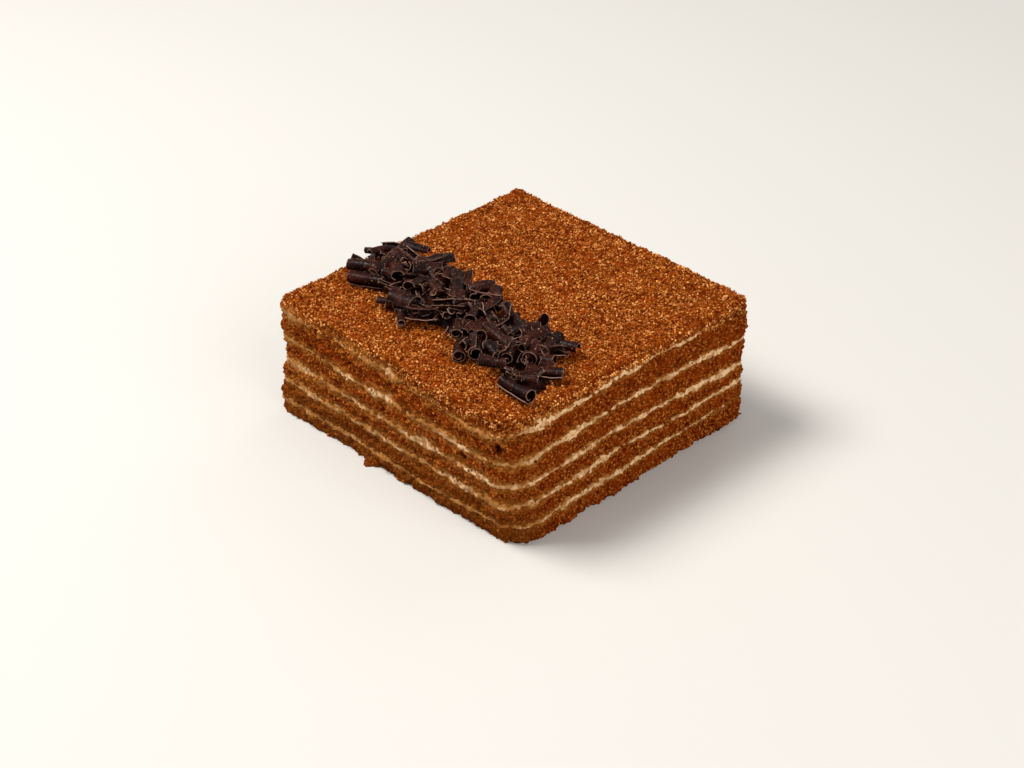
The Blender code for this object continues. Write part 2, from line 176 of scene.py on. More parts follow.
@dataclass(frozen=True)
class SlabShape:
    """The slab's leaning, rounded plan, as the solids have it."""

    side_x: float = 0.0920
    side_y: float = 0.0890
    height: float = 0.0400
    shift_x: float = 0.0010
    shift_y: float = -0.0002
    wave: float = 0.0010
    wave_length: float = 0.0140
    crag: float = 0.0007
    crag_length: float = 0.0035
    dent_depth: float = 0.0012
    dent_station: float = 3.28
    dent_width: float = 0.10
    flake: float = 0.0024
    flake_station: float = 0.407
    flake_width: float = 0.02
    flake_height: float = 0.0012
    crumb_size: float = 0.0013
    crumb_relief: float = 0.00075
    grit_size: float = 0.00065
    grit_relief: float = 0.00050
    tear: float = 0.00062
    tear_length: float = 0.0013
    nick: float = 0.00042
    nick_length: float = 0.00065
    squareness: int = 5
    pits: tuple[Pit, ...] = (
        Pit(0.806, 0.0218, 0.0010, 0.0042),
        Pit(0.960, 0.0292, 0.0014, 0.0042),
        Pit(0.330, 0.0300, 0.0009, 0.0014),
        Pit(0.620, 0.0095, 0.0010, 0.0014),
        Pit(1.330, 0.0165, 0.0011, 0.0015),
        Pit(1.520, 0.0310, 0.0010, 0.0014),
        Pit(1.700, 0.0235, 0.0009, 0.0012),
        Pit(2.240, 0.0150, 0.0011, 0.0016),
        Pit(2.700, 0.0300, 0.0012, 0.0016),
        Pit(3.120, 0.0090, 0.0010, 0.0014),
        Pit(3.610, 0.0240, 0.0012, 0.0018),
    )
    corners: tuple[Corner, ...] = (
        Corner(1, -1, (0.0002, 0.0010), (-0.0010, -0.0029), 0.0080),
        Corner(-1, -1, (-0.0024, 0.0000), (0.0024, -0.0016), 0.0030),
        Corner(1, 1, (-0.0006, 0.0026), (0.0005, 0.0005), 0.0035),
        Corner(-1, 1, (0.0000, 0.0005), (0.0018, 0.0016), 0.0030),
    )

    def square_spot(self, at: Array) -> Pair:
        """Give the square's border point at each station.

        Args:
            at: Stations in sides, from the left corner past the front one.

        Returns:
            The a and b of each border point, from -1 to 1.
        """
        along = 2.0 * (at % 1.0) - 1.0
        side = np.floor(at).astype(int) % len(Side)
        edge = np.ones_like(along)
        a = np.choose(side, [along, edge, -along, -edge])
        b = np.choose(side, [-edge, along, edge, -along])
        return a, b

    def places(self, a: Array, b: Array, z: Array) -> Array:
        """Place the square's points at their heights, with the corners rounded and leaning.

        Args:
            a: Places along X, from -1 to 1.
            b: Places along Y, from -1 to 1.
            z: Heights in metres.

        Returns:
            One row of x, y and z for each point.
        """
        x = a * self.side_x / 2.0
        y = b * self.side_y / 2.0
        for corner in self.corners:
            middle_x = corner.side_x * (self.side_x / 2.0 - corner.radius)
            middle_y = corner.side_y * (self.side_y / 2.0 - corner.radius)
            u = (x - middle_x) * corner.side_x / corner.radius
            v = (y - middle_y) * corner.side_y / corner.radius
            inside = (u > 0.0) & (v > 0.0)
            round_u = corner.side_x * corner.radius * u * np.sqrt(np.clip(1.0 - v * v / 2.0, 0.0, 1.0))
            round_v = corner.side_y * corner.radius * v * np.sqrt(np.clip(1.0 - u * u / 2.0, 0.0, 1.0))
            x = np.where(inside, middle_x + round_u, x)
            y = np.where(inside, middle_y + round_v, y)
        rise = z / self.height
        out_x = x + self.shift_x
        out_y = y + self.shift_y
        for corner in self.corners:
            share = (0.5 + corner.side_x * x / self.side_x) * (0.5 + corner.side_y * y / self.side_y)
            out_x = out_x + share * (corner.foot[0] + (corner.head[0] - corner.foot[0]) * rise)
            out_y = out_y + share * (corner.foot[1] + (corner.head[1] - corner.foot[1]) * rise)
        return np.stack([out_x, out_y, z], axis=-1)

    def outward(self, a: Array, b: Array) -> Array:
        """Give the level direction out of the slab at each border point."""
        away = np.stack([a**self.squareness, b**self.squareness, np.zeros_like(a)], axis=-1)
        return away / np.linalg.norm(away, axis=-1, keepdims=True)

    def face(self, at: Array, z: Array, bulge: Array | float) -> Array:
        """Place points on the cut faces, with their waves, crags, the dent and the flake.

        Args:
            at: Stations in sides.
            z: Heights in metres.
            bulge: How far each point stands out of the face.

        Returns:
            One row of x, y and z for each point.
        """
        a, b = self.square_spot(at)
        flat = self.places(a, b, z)
        wave = self.wave * noise_at(flat, self.wave_length)
        crag = self.crag * noise_at(flat, self.crag_length)
        away = (at - self.dent_station) / self.dent_width
        dent = self.dent_depth * np.exp(-away * away) * z / self.height
        beside = (at - self.flake_station) / self.flake_width
        above = z / self.flake_height
        flake = self.flake * np.exp(-beside * beside - above * above)
        out = wave + crag + flake - dent + bulge
        return flat + self.outward(a, b) * out[:, None]

    def torn(self, at: Array, z: Array) -> Array:
        """Give how far the border between crumb and cream wanders at each point of the faces."""
        flat = self.places(*self.square_spot(at), z)
        wander = self.tear * noise_at(flat, self.tear_length, Rough.TEAR)
        return wander + self.nick * noise_at(flat, self.nick_length, Rough.NICK)

    def crumbly(self, at: Array, z: Array, bulge: Array | float) -> Array:
        """Place points on the cut faces with the relief of their open crumb.

        Args:
            at: Stations in sides.
            z: Heights in metres.
            bulge: How far each point stands out of the face.

        Returns:
            One row of x, y and z for each point.
        """
        smooth = self.face(at, z, bulge)
        relief = self.crumb_relief * noise_at(smooth, self.crumb_size, Rough.CRUMB)
        relief += self.grit_relief * noise_at(smooth, self.grit_size, Rough.GRIT)
        for pit in self.pits:
            beside = (at - pit.station) * self.side_x / pit.size
            above = (z - pit.height) / pit.size
            relief -= pit.depth * np.exp(-beside * beside - above * above)
        return smooth + self.outward(*self.square_spot(at)) * relief[:, None]


@dataclass(frozen=True)
class Lump:
    """A stretch where a cream layer is thicker, or thinner where swell is below zero."""

    layer: int
    station: float
    swell: float
    width: float


@dataclass(frozen=True)
class CreamLevels:
    """Where the five cream layers run through the cake, counted from the lowest."""

    thickness: float = 0.0016
    uneven: float = 0.35
    heights: tuple[tuple[float, ...], ...] = (
        (0.0046, 0.0044, 0.0052, 0.0054, 0.0066, 0.0072),
        (0.0118, 0.0115, 0.0117, 0.0120, 0.0135, 0.0128),
        (0.0184, 0.0183, 0.0181, 0.0187, 0.0207, 0.0188),
        (0.0262, 0.0255, 0.0248, 0.0262, 0.0282, 0.0270),
        (0.0350, 0.0345, 0.0326, 0.0350, 0.0368, 0.0360),
    )
    stations: tuple[float, ...] = (0.0, 0.5, 0.9, 1.1, 1.5, 2.0)
    hidden_stations: tuple[float, ...] = (2.5, 3.0, 3.5, SIDES_ROUND)
    ripple: float = 0.25
    ripple_turn: float = 0.25
    uneven_turn: float = 0.2
    showing_share: float = 0.70
    patch_size: float = 0.00055
    patch_turn: float = 0.055
    smear_height: float = 0.00030
    fade: float = 0.24
    fade_drift: float = 0.42
    fade_turn: float = 0.10
    fade_by_layer: tuple[float, ...] = (0.74, 0.64, 0.60, 0.66, 0.72)
    thick_swell: float = 0.0012
    thick_pale: float = 0.36
    thinnest: float = -0.5
    smear_stations: tuple[float, ...] = (0.0, 0.92, 1.18, 1.9, 2.4, 3.6, SIDES_ROUND)
    smear_shares: tuple[float, ...] = (1.0, 0.9, 0.15, 0.0, 0.4, 0.4, 1.0)
    lumps: tuple[Lump, ...] = (
        Lump(4, 1.13, 0.0016, 0.040),
        Lump(4, 1.26, 0.0006, 0.050),
        Lump(4, 1.37, 0.0011, 0.022),
        Lump(4, 1.48, 0.0010, 0.026),
        Lump(4, 1.60, -0.0014, 0.040),
        Lump(4, 1.72, 0.0006, 0.050),
        Lump(4, 1.90, -0.0018, 0.110),
        Lump(4, 0.50, 0.0020, 0.030),
        Lump(4, 0.40, 0.0010, 0.026),
        Lump(4, 0.06, 0.0019, 0.030),
        Lump(4, 0.21, -0.0018, 0.090),
        Lump(4, 0.58, -0.0012, 0.035),
        Lump(4, 0.72, -0.0010, 0.070),
        Lump(4, 1.00, -0.0010, 0.050),
        Lump(3, 1.25, 0.0012, 0.045),
        Lump(3, 1.08, 0.0006, 0.040),
        Lump(3, 1.55, -0.0003, 0.080),
        Lump(3, 0.38, -0.0008, 0.020),
        Lump(3, 0.44, 0.0021, 0.021),
        Lump(3, 0.50, 0.0020, 0.020),
        Lump(3, 0.58, -0.0010, 0.040),
        Lump(3, 1.82, 0.0006, 0.060),
        Lump(3, 0.31, 0.0014, 0.030),
        Lump(3, 0.13, -0.0007, 0.060),
        Lump(3, 0.78, 0.0010, 0.060),
        Lump(2, 1.87, 0.0020, 0.060),
        Lump(2, 1.72, 0.0008, 0.040),
        Lump(2, 1.40, -0.0002, 0.100),
        Lump(2, 0.12, 0.0013, 0.035),
        Lump(2, 0.36, 0.0012, 0.034),
        Lump(2, 0.62, 0.0017, 0.080),
        Lump(2, 0.88, 0.0021, 0.070),
        Lump(1, 1.30, 0.0010, 0.060),
        Lump(1, 1.95, 0.0016, 0.035),
        Lump(1, 1.78, 0.0005, 0.040),
        Lump(1, 1.64, -0.0007, 0.030),
        Lump(1, 0.15, 0.0016, 0.034),
        Lump(1, 0.46, 0.0010, 0.050),
        Lump(1, 0.80, 0.0013, 0.080),
        Lump(0, 0.14, 0.0006, 0.030),
        Lump(0, 0.70, -0.0009, 0.200),
        Lump(0, 1.28, 0.0008, 0.070),
        Lump(0, 1.72, -0.0008, 0.045),
        Lump(0, 1.95, -0.0014, 0.080),
    )

    def count(self) -> int:
        """Give the number of cream layers."""
        return len(self.heights)

    def _ring(self, ring: Ring, layer: int, at: Array, length: float) -> Array:
        """Read noise that runs round the slab and meets itself.

        Args:
            ring: What varies.
            layer: The layer, counted from 0 at the bottom.
            at: Stations in sides.
            length: The size of the waves, 1 being the ring's radius.

        Returns:
            One value for each station, about -1 to 1.
        """
        turn = at * math.tau / SIDES_ROUND
        level = np.full_like(at, layer + ring.value)
        return noise_at(np.stack([np.cos(turn), np.sin(turn), level], axis=-1), length)

    def middle(self, layer: int, at: Array) -> Array:
        """Give the height of a cream layer's middle; hidden sides take its mean.

        Args:
            layer: The layer, counted from 0 at the bottom.
            at: Stations in sides.

        Returns:
            One height for each station.
        """
        shown = self.heights[layer]
        mean = sum(shown) / len(shown)
        places = np.array(self.stations + self.hidden_stations)
        values = np.array(shown + (mean, mean, mean, shown[0]))
        ripple = self._ring(Ring.MIDDLE, layer, at, self.ripple_turn)
        return level_between(at, places, values) + ripple * self.thickness * self.ripple

    def half(self, layer: int, at: Array) -> Array:
        """Give half the thickness of a cream layer, as the solids have it."""
        wander = self._ring(Ring.HALF, layer, at, self.uneven_turn)
        return self.thickness / 2.0 * (1.0 + self.uneven * 2.0 * wander)

    def swell(self, layer: int, at: Array) -> Array:
        """Give what the lumps add to a cream layer's thickness.

        Args:
            layer: The layer, counted from 0 at the bottom.
            at: Stations in sides.

        Returns:
            One length for each station.
        """
        total = np.zeros_like(at)
        for lump in self.lumps:
            if lump.layer == layer:
                away = (at - lump.station) / lump.width
                total += lump.swell * np.exp(-away * away)
        return total

    def showing(self, layer: int, at: Array) -> Array:
        """Give half the height at which a cream layer shows at the cut, down to none.

        Args:
            layer: The layer, counted from 0 at the bottom.
            at: Stations in sides.

        Returns:
            One length for each station.
        """
        patches = self.patch_size * self._ring(Ring.PATCH, layer, at, self.patch_turn)
        shown = self.half(layer, at) * self.showing_share + self.swell(layer, at) / 2.0 + patches
        shown = shown + self.smear_height * self.smeared(at)
        return np.clip(shown, 0.0, None)

    def faded(self, layer: int, at: Array) -> Array:
        """Give how far a cream layer has soaked away or taken up crumb.

        Args:
            layer: The layer, counted from 0 at the bottom.
            at: Stations in sides.

        Returns:
            One share for each station, 0 where it stays pale.
        """
        drift = self.fade_drift * self._ring(Ring.FADE, layer, at, self.fade_turn)
        thick = np.clip(self.swell(layer, at) / self.thick_swell, self.thinnest, 1.0)
        return self.fade + self.fade_by_layer[layer] * self.smeared(at) + drift - self.thick_pale * thick

    def smeared(self, at: Array) -> Array:
        """Give how far the cut smeared the cream into the crumb: most of all on the left face."""
        return np.interp(at, self.smear_stations, self.smear_shares)


class ShaderBoard:
    """A node tree with short ways to add and join nodes."""

    def __init__(self, tree: NodeTree) -> None:
        """Keep the tree.

        Args:
            tree: The material's or the group's node tree.
        """
        self.tree = tree

    def add(self, kind: str, **values: object) -> Node:
        """Add a node and set its properties.

        Args:
            kind: The node's type, without its ShaderNode prefix.
            values: Properties of the node.

        Returns:
            The new node.
        """
        node = self.tree.nodes.new(kind if kind.startswith("NodeGroup") else f"ShaderNode{kind}")
        for name, value in values.items():
            setattr(node, name, value)
        return node

    def join(self, output: Socket, entry: Socket) -> None:
        """Link an output to an input."""
        self.tree.links.new(output, entry)

    def feed(self, entry: Socket, value: object) -> None:
        """Set an input, or link it when the value is itself an output.

        Args:
            entry: The input.
            value: A number, a colour or another node's output.
        """
        if isinstance(value, Socket):
            self.join(value, entry)
        elif isinstance(value, tuple) and len(value) == 3 and entry.type == "RGBA":
            entry.default_value = (*value, 1.0)
        else:
            entry.default_value = value

    def sum_of(self, operation: str, *values: object) -> Socket:
        """Work out one number from others.

        Args:
            operation: The Math node's operation.
            values: Numbers or outputs, in the operation's order.

        Returns:
            The node's output.
        """
        node = self.add("Math", operation=operation)
        for entry, value in zip(node.inputs, values):
            self.feed(entry, value)
        return node.outputs["Value"]

    def spread(
        self, value: object, low: object, high: object, new_low: float = 0.0, new_high: float = 1.0
    ) -> Socket:
        """Stretch a stretch of values smoothly to another one, and hold it there.

        Args:
            value: What to stretch.
            low: Where the stretch begins.
            high: Where it ends.
            new_low: What its beginning becomes.
            new_high: What its end becomes.

        Returns:
            The stretched value.
        """
        node = self.add("MapRange", interpolation_type="SMOOTHSTEP")
        for name, item in zip(
            ("Value", "From Min", "From Max", "To Min", "To Max"), (value, low, high, new_low, new_high)
        ):
            self.feed(node.inputs[name], item)
        return node.outputs["Result"]

    def blend(self, share: object, first: object, second: object) -> Socket:
        """Mix two colours.

        Args:
            share: How much of the second colour there is.
            first: The first colour.
            second: The second colour.

        Returns:
            The mixed colour.
        """
        node = self.add("Mix", data_type="RGBA")
        self.feed(node.inputs[MIX_SHARE], share)
        self.feed(node.inputs[MIX_FIRST], first)
        self.feed(node.inputs[MIX_SECOND], second)
        return node.outputs[MIX_RESULT]

    def cloud(self, place: object, size: object, detail: float = 2.0) -> Socket:
        """Make soft noise whose waves have a size in metres.

        Args:
            place: The coordinates to read.
            size: The size of the waves, a number or an output.
            detail: How many finer waves are added.

        Returns:
            The noise, about 0 to 1.
        """
        node = self.add("TexNoise")
        self.feed(node.inputs["Vector"], place)
        self.feed(node.inputs["Scale"], self.sum_of("DIVIDE", 1.0, size))
        node.inputs["Detail"].default_value = detail
        return node.outputs["Fac"]

    def cells(self, place: object, size: object) -> tuple[Socket, Socket]:
        """Split space into cells that have a size in metres.

        Args:
            place: The coordinates to read.
            size: The size of the cells, a number or an output.

        Returns:
            The distance from the cell's middle, and a number of the cell's own, 0 to 1.
        """
        node = self.add("TexVoronoi", feature="F1")
        self.feed(node.inputs["Vector"], place)
        self.feed(node.inputs["Scale"], self.sum_of("DIVIDE", 1.0, size))
        parts = self.add("SeparateColor")
        self.join(node.outputs["Color"], parts.inputs["Color"])
        return node.outputs["Distance"], parts.outputs["Red"]


class EffectLibrary:
    """The shader groups that several finishes share, each built once."""

    warp_scale: float = 0.8
    warp: float = 0.9
    fine_size: float = 0.45
    own_share: float = 0.62
    fine_share: float = 0.38
    # Painted shade in the pores between grains: where it begins at each grain's border and how far it
    # darkens the tone.
    pore_shade_span: Span = (0.42, 0.80)
    pore_shade_depth: float = 0.42
    dark_span: Span = (0.08, 0.40)
    light_span: Span = (0.48, 0.74)
    soak_wander: float = 1.3
    soak_span: Span = (0.30, 0.95)
    speck_span: Span = (0.10, 0.28)

    def __init__(self) -> None:
        """Build the groups."""
        self.grain = self._crumb_grain()
        self.soak = self._cream_soak()
        self.dust = self._crumb_dust()

    @staticmethod
    def _start(
        name: str, entries: dict[str, str], results: dict[str, str]
    ) -> tuple[ShaderBoard, NodeTree, dict[str, Socket], Node]:
        """Start a group with named inputs and outputs.

        Args:
            name: The group's name.
            entries: Each input's name and socket type.
            results: Each output's name and socket type.

        Returns:
            The board, the tree, the inputs by name and the output node.
        """
        tree = bpy.data.node_groups.new(name, "ShaderNodeTree")
        for label, kind in entries.items():
            tree.interface.new_socket(label, in_out="INPUT", socket_type=f"NodeSocket{kind}")
        for label, kind in results.items():
            tree.interface.new_socket(label, in_out="OUTPUT", socket_type=f"NodeSocket{kind}")
        board = ShaderBoard(tree)
        source = board.add("NodeGroupInput")
        sink = board.add("NodeGroupOutput")
        return board, tree, {label: source.outputs[label] for label in entries}, sink

    def _crumb_grain(self) -> NodeTree:
        """Build the look of packed crumbs: grains of many browns, with painted shade in the pores between
        them.
        """
        board, tree, given, sink = self._start(
            "crumb_grain",
            {"Place": "Vector", "Grain Size": "Float", "Dark": "Color", "Mid": "Color", "Light": "Color"},
            {"Colour": "Color", "Height": "Float"},
        )
        warp = board.add("TexNoise")
        board.feed(warp.inputs["Vector"], given["Place"])
        board.feed(warp.inputs["Scale"], board.sum_of("DIVIDE", self.warp_scale, given["Grain Size"]))
        nudge = board.add("VectorMath", operation="MULTIPLY_ADD")
        board.join(warp.outputs["Color"], nudge.inputs[0])
        stretch = board.add("CombineXYZ")
        for axis in ("X", "Y", "Z"):
            board.feed(stretch.inputs[axis], board.sum_of("MULTIPLY", given["Grain Size"], self.warp))
        board.join(stretch.outputs["Vector"], nudge.inputs[1])
        board.join(given["Place"], nudge.inputs[2])
        distance, own = board.cells(nudge.outputs["Vector"], given["Grain Size"])
        fine_size = board.sum_of("MULTIPLY", given["Grain Size"], self.fine_size)
        fine = board.cloud(given["Place"], fine_size, FINE_DETAIL)
        mixed = board.sum_of("MULTIPLY", own, self.own_share)
        tone = board.sum_of("MULTIPLY_ADD", fine, self.fine_share, mixed)
        # Painted shade: the tone darkens towards each grain's border, where the pores lie in shade; the
        # same mask also sinks the bump there.
        pore_shade = board.spread(distance, *self.pore_shade_span)
        tone = board.sum_of("SUBTRACT", tone, board.sum_of("MULTIPLY", pore_shade, self.pore_shade_depth))
        lower = board.blend(board.spread(tone, *self.dark_span), given["Dark"], given["Mid"])
        lit = board.blend(board.spread(tone, *self.light_span), lower, given["Light"])
        board.join(lit, sink.inputs["Colour"])
        board.join(board.sum_of("SUBTRACT", fine, pore_shade), sink.inputs["Height"])
        return tree

    def _cream_soak(self) -> NodeTree:
        """Build the stain that cream leaves in the crumb beside it."""
        board, tree, given, sink = self._start(
            "cream_soak",
            {
                "Place": "Vector", "Colour": "Color", "Stain": "Color", "Nearness": "Float",
                "Patch Size": "Float", "Strength": "Float",
            },
            {"Colour": "Color", "Wet": "Float"},
        )
        patches = board.cloud(given["Place"], given["Patch Size"], FINE_DETAIL)
        reach = board.sum_of("MULTIPLY_ADD", patches, self.soak_wander, -self.soak_wander / 2.0)
        wet = board.spread(board.sum_of("ADD", given["Nearness"], reach), *self.soak_span)
        share = board.sum_of("MULTIPLY", wet, given["Strength"])
        stained = board.blend(share, given["Colour"], given["Stain"])
        board.join(stained, sink.inputs["Colour"])
        board.join(wet, sink.inputs["Wet"])
        return tree

    def _crumb_dust(self) -> NodeTree:
        """Build the specks that loose crumbs leave on what they fall on."""
        board, tree, given, sink = self._start(
            "crumb_dust",
            {"Place": "Vector", "Spacing": "Float", "Amount": "Float"},
            {"Speck": "Float"},
        )
        distance, own = board.cells(given["Place"], given["Spacing"])
        near = board.spread(distance, *self.speck_span, 1.0, 0.0)
        chosen = board.sum_of("LESS_THAN", own, given["Amount"])
        board.join(board.sum_of("MULTIPLY", near, chosen), sink.inputs["Speck"])
        return tree


def start_material(name: str) -> tuple[ShaderBoard, Material]:
    """Start a material with its Principled shader.

    Args:
        name: The material's name.

    Returns:
        The board and the material.
    """
    material = bpy.data.materials.new(name)
    material.use_nodes = True
    return ShaderBoard(material.node_tree), material


def set_surface(board: ShaderBoard, colour: object, roughness: object, specular: float) -> Node:
    """Give a material its colour and its gloss.

    Args:
        board: The material's board.
        colour: The base colour.
        roughness: The roughness.
        specular: How strongly the surface reflects.

    Returns:
        The Principled shader.
    """
    shader = board.tree.nodes["Principled BSDF"]
    board.feed(shader.inputs["Base Color"], colour)
    board.feed(shader.inputs["Roughness"], roughness)
    shader.inputs["Specular IOR Level"].default_value = specular
    return shader


def add_bump(board: ShaderBoard, shader: Node, height: Socket, strength: float, depth: float) -> None:
    """Turn a height into the shader's normal.

    Args:
        board: The material's board.
        shader: The Principled shader.
        height: The height, 0 to 1.
        strength: The Bump node's strength.
        depth: The real height of 1, in metres.
    """
    bump = board.add("Bump")
    bump.inputs["Strength"].default_value = strength
    bump.inputs["Distance"].default_value = depth
    board.join(height, bump.inputs["Height"])
    board.join(bump.outputs["Normal"], shader.inputs["Normal"])


def use_group(board: ShaderBoard, group: NodeTree, **values: object) -> Node:
    """Place a shared group in a material.

    Args:
        board: The material's board.
        group: The group.
        values: The group's inputs, with an underscore for each space in a name.

    Returns:
        The group's node.
    """
    node = board.add("Group")
    node.node_tree = group
    for name, value in values.items():
        board.feed(node.inputs[name.replace("_", " ")], value)
    return node


def object_place(board: ShaderBoard) -> Socket:
    """Give the Object coordinates of a material."""
    return board.add("TexCoord").outputs["Object"]


def attribute(board: ShaderBoard, name: str) -> Socket:
    """Give a piece's own attribute as a number."""
    return board.add("Attribute", attribute_name=name).outputs["Fac"]


@dataclass(frozen=True)
class CrumbFinish:
    """Packed crumb: its browns, the size of its grains and how it takes up cream."""

    name: str
    dark: Colour
    mid: Colour
    light: Colour
    stain: Colour
    grain: float
    clump: float
    patch: float
    soaks: float
    roughness: float
    relief: float
    red: Colour = (0.24, 0.030, 0.0010)
    # Painted shade: the foot of the left face is darkened and tinted olive, below this height and on this
    # side.
    foot_shade: Colour = (0.135, 0.034, 0.003)
    foot_shade_height: float = 0.022
    foot_shade_side: Span = (-0.030, -0.043)
    foot_shade_share: float = 0.74
    drift_span: Span = (0.35, 0.70)
    drift_share: float = 0.20
    drift_gains: Colour = (1.30, 1.45, 1.55)
    red_size: float = 0.5
    red_span: Span = (0.48, 0.64)
    red_share: float = 0.56
    clump_span: Span = (0.54, 0.70)
    clump_share: float = 0.60
    soak_size: float = 0.35
    wet_gloss: float = 0.25
    specular: float = 0.02
    bump: float = 0.9

    def material(self, effects: EffectLibrary) -> Material:
        """Build the material.

        Args:
            effects: The shared shader groups.

        Returns:
            The finished material.
        """
        board, made = start_material(self.name)
        place = object_place(board)
        grain = use_group(
            board, effects.grain, Place=place, Grain_Size=self.grain, Dark=self.dark, Mid=self.mid,
            Light=self.light,
        )
        drift = board.spread(board.cloud(place, self.patch), *self.drift_span)
        warmer = tuple(min(1.0, part * gain) for part, gain in zip(self.mid, self.drift_gains))
        drift = board.sum_of("MULTIPLY", drift, self.drift_share)
        shaded = board.blend(drift, grain.outputs["Colour"], warmer)
        reddish = board.cloud(place, self.patch * self.red_size, FINE_DETAIL)
        redder = board.spread(reddish, *self.red_span, 0.0, self.red_share)
        shaded = board.blend(redder, shaded, self.red)
        clump = board.spread(board.cloud(place, self.clump), *self.clump_span, 0.0, self.clump_share)
        shaded = board.blend(clump, shaded, self.dark)
        soak = use_group(
            board, effects.soak, Place=place, Colour=shaded, Stain=self.stain,
            Nearness=attribute(board, "nearness"), Patch_Size=self.patch * self.soak_size,
            Strength=self.soaks,
        )
        split = board.add("SeparateXYZ")
        board.join(place, split.inputs["Vector"])
        # Painted shade: darken the colour, tinted olive, towards the foot of the left face.
        foot = board.spread(split.outputs["Z"], self.foot_shade_height, 0.0, 0.0, self.foot_shade_share)
        foot = board.sum_of("MULTIPLY", foot, board.spread(split.outputs["Y"], *self.foot_shade_side))
        colour = board.blend(foot, soak.outputs["Colour"], self.foot_shade)
        glossy = self.roughness - self.wet_gloss
        roughness = board.spread(soak.outputs["Wet"], 0.0, 1.0, self.roughness, glossy)
        shader = set_surface(board, colour, roughness, self.specular)
        add_bump(board, shader, grain.outputs["Height"], self.bump, self.relief)
        return made


@dataclass(frozen=True)
class CreamFinish:
    """Sour cream that shows at a cut: pale in the middle and ochre where it soaks away."""

    name: str = "cream"
    pale: Colour = (0.73, 0.485, 0.260)
    ochre: Colour = (0.325, 0.132, 0.028)
    crumb: Colour = (0.20, 0.050, 0.005)
    patch: float = 0.0030
    mottle: float = 0.0015
    mottle_detail: float = 4.0
    mottle_span: Span = (0.40, 0.62)
    mottle_share: float = 0.78
    dust_spacing: float = 0.0008
    dust_amount: float = 0.42
    roughness: float = 0.50
    dry_roughness: float = 0.75
    specular: float = 0.12
    grit: float = 0.0007
    bump: float = 0.7
    relief: float = 0.00018

    def material(self, effects: EffectLibrary) -> Material:
        """Build the material.

        Args:
            effects: The shared shader groups.

        Returns:
            The finished material.
        """
        board, made = start_material(self.name)
        place = object_place(board)
        soak = use_group(
            board, effects.soak, Place=place, Colour=self.pale, Stain=self.ochre,
            Nearness=attribute(board, "nearness"), Patch_Size=self.patch, Strength=1.0,
        )
        dust = use_group(
            board, effects.dust, Place=place, Spacing=self.dust_spacing, Amount=self.dust_amount
        )
        patchy = board.cloud(place, self.mottle, self.mottle_detail)
        mottle = board.spread(patchy, *self.mottle_span, 0.0, self.mottle_share)
        mottled = board.blend(mottle, soak.outputs["Colour"], self.ochre)
        stained = board.blend(dust.outputs["Speck"], mottled, self.crumb)
        roughness = board.spread(soak.outputs["Wet"], 0.0, 1.0, self.roughness, self.dry_roughness)
        shader = set_surface(board, stained, roughness, self.specular)
        fine = board.cloud(place, self.grit, FINE_DETAIL)
        height = board.sum_of("ADD", fine, dust.outputs["Speck"])
        add_bump(board, shader, height, self.bump, self.relief)
        return made


@dataclass(frozen=True)
class LooseCrumbFinish:
    """Loose crumbs, each with one tone from its own attribute."""

    name: str
    dark: Colour
    mid: Colour
    light: Colour
    red_share: float = 0.0
    red: Colour = (0.25, 0.034, 0.0012)
    patch: float = 0.0042
    red_span: Span = (0.48, 0.64)
    dark_span: Span = (0.0, 0.45)
    light_span: Span = (0.50, 1.0)
    grit: float = 0.00025
    grit_span: Span = (0.62, 0.30)
    grit_share: float = 0.45
    grit_dark: float = 0.55
    roughness: float = 0.85
    specular: float = 0.02
    bump: float = 0.6
    relief: float = 0.00008

    def material(self) -> Material:
        """Build the material."""
        board, made = start_material(self.name)
        place = object_place(board)
        tone = attribute(board, "tone")
        lower = board.blend(board.spread(tone, *self.dark_span), self.dark, self.mid)
        toned = board.blend(board.spread(tone, *self.light_span), lower, self.light)
        fine = board.cloud(place, self.grit)
        darker = tuple(part * self.grit_dark for part in self.mid)
        toned = board.blend(board.spread(fine, *self.grit_span, 0.0, self.grit_share), toned, darker)
        reddish = board.cloud(place, self.patch, FINE_DETAIL)
        redder = board.spread(reddish, *self.red_span, 0.0, self.red_share)
        toned = board.blend(redder, toned, self.red)
        shader = set_surface(board, toned, self.roughness, self.specular)
        add_bump(board, shader, fine, self.bump, self.relief)
        return made


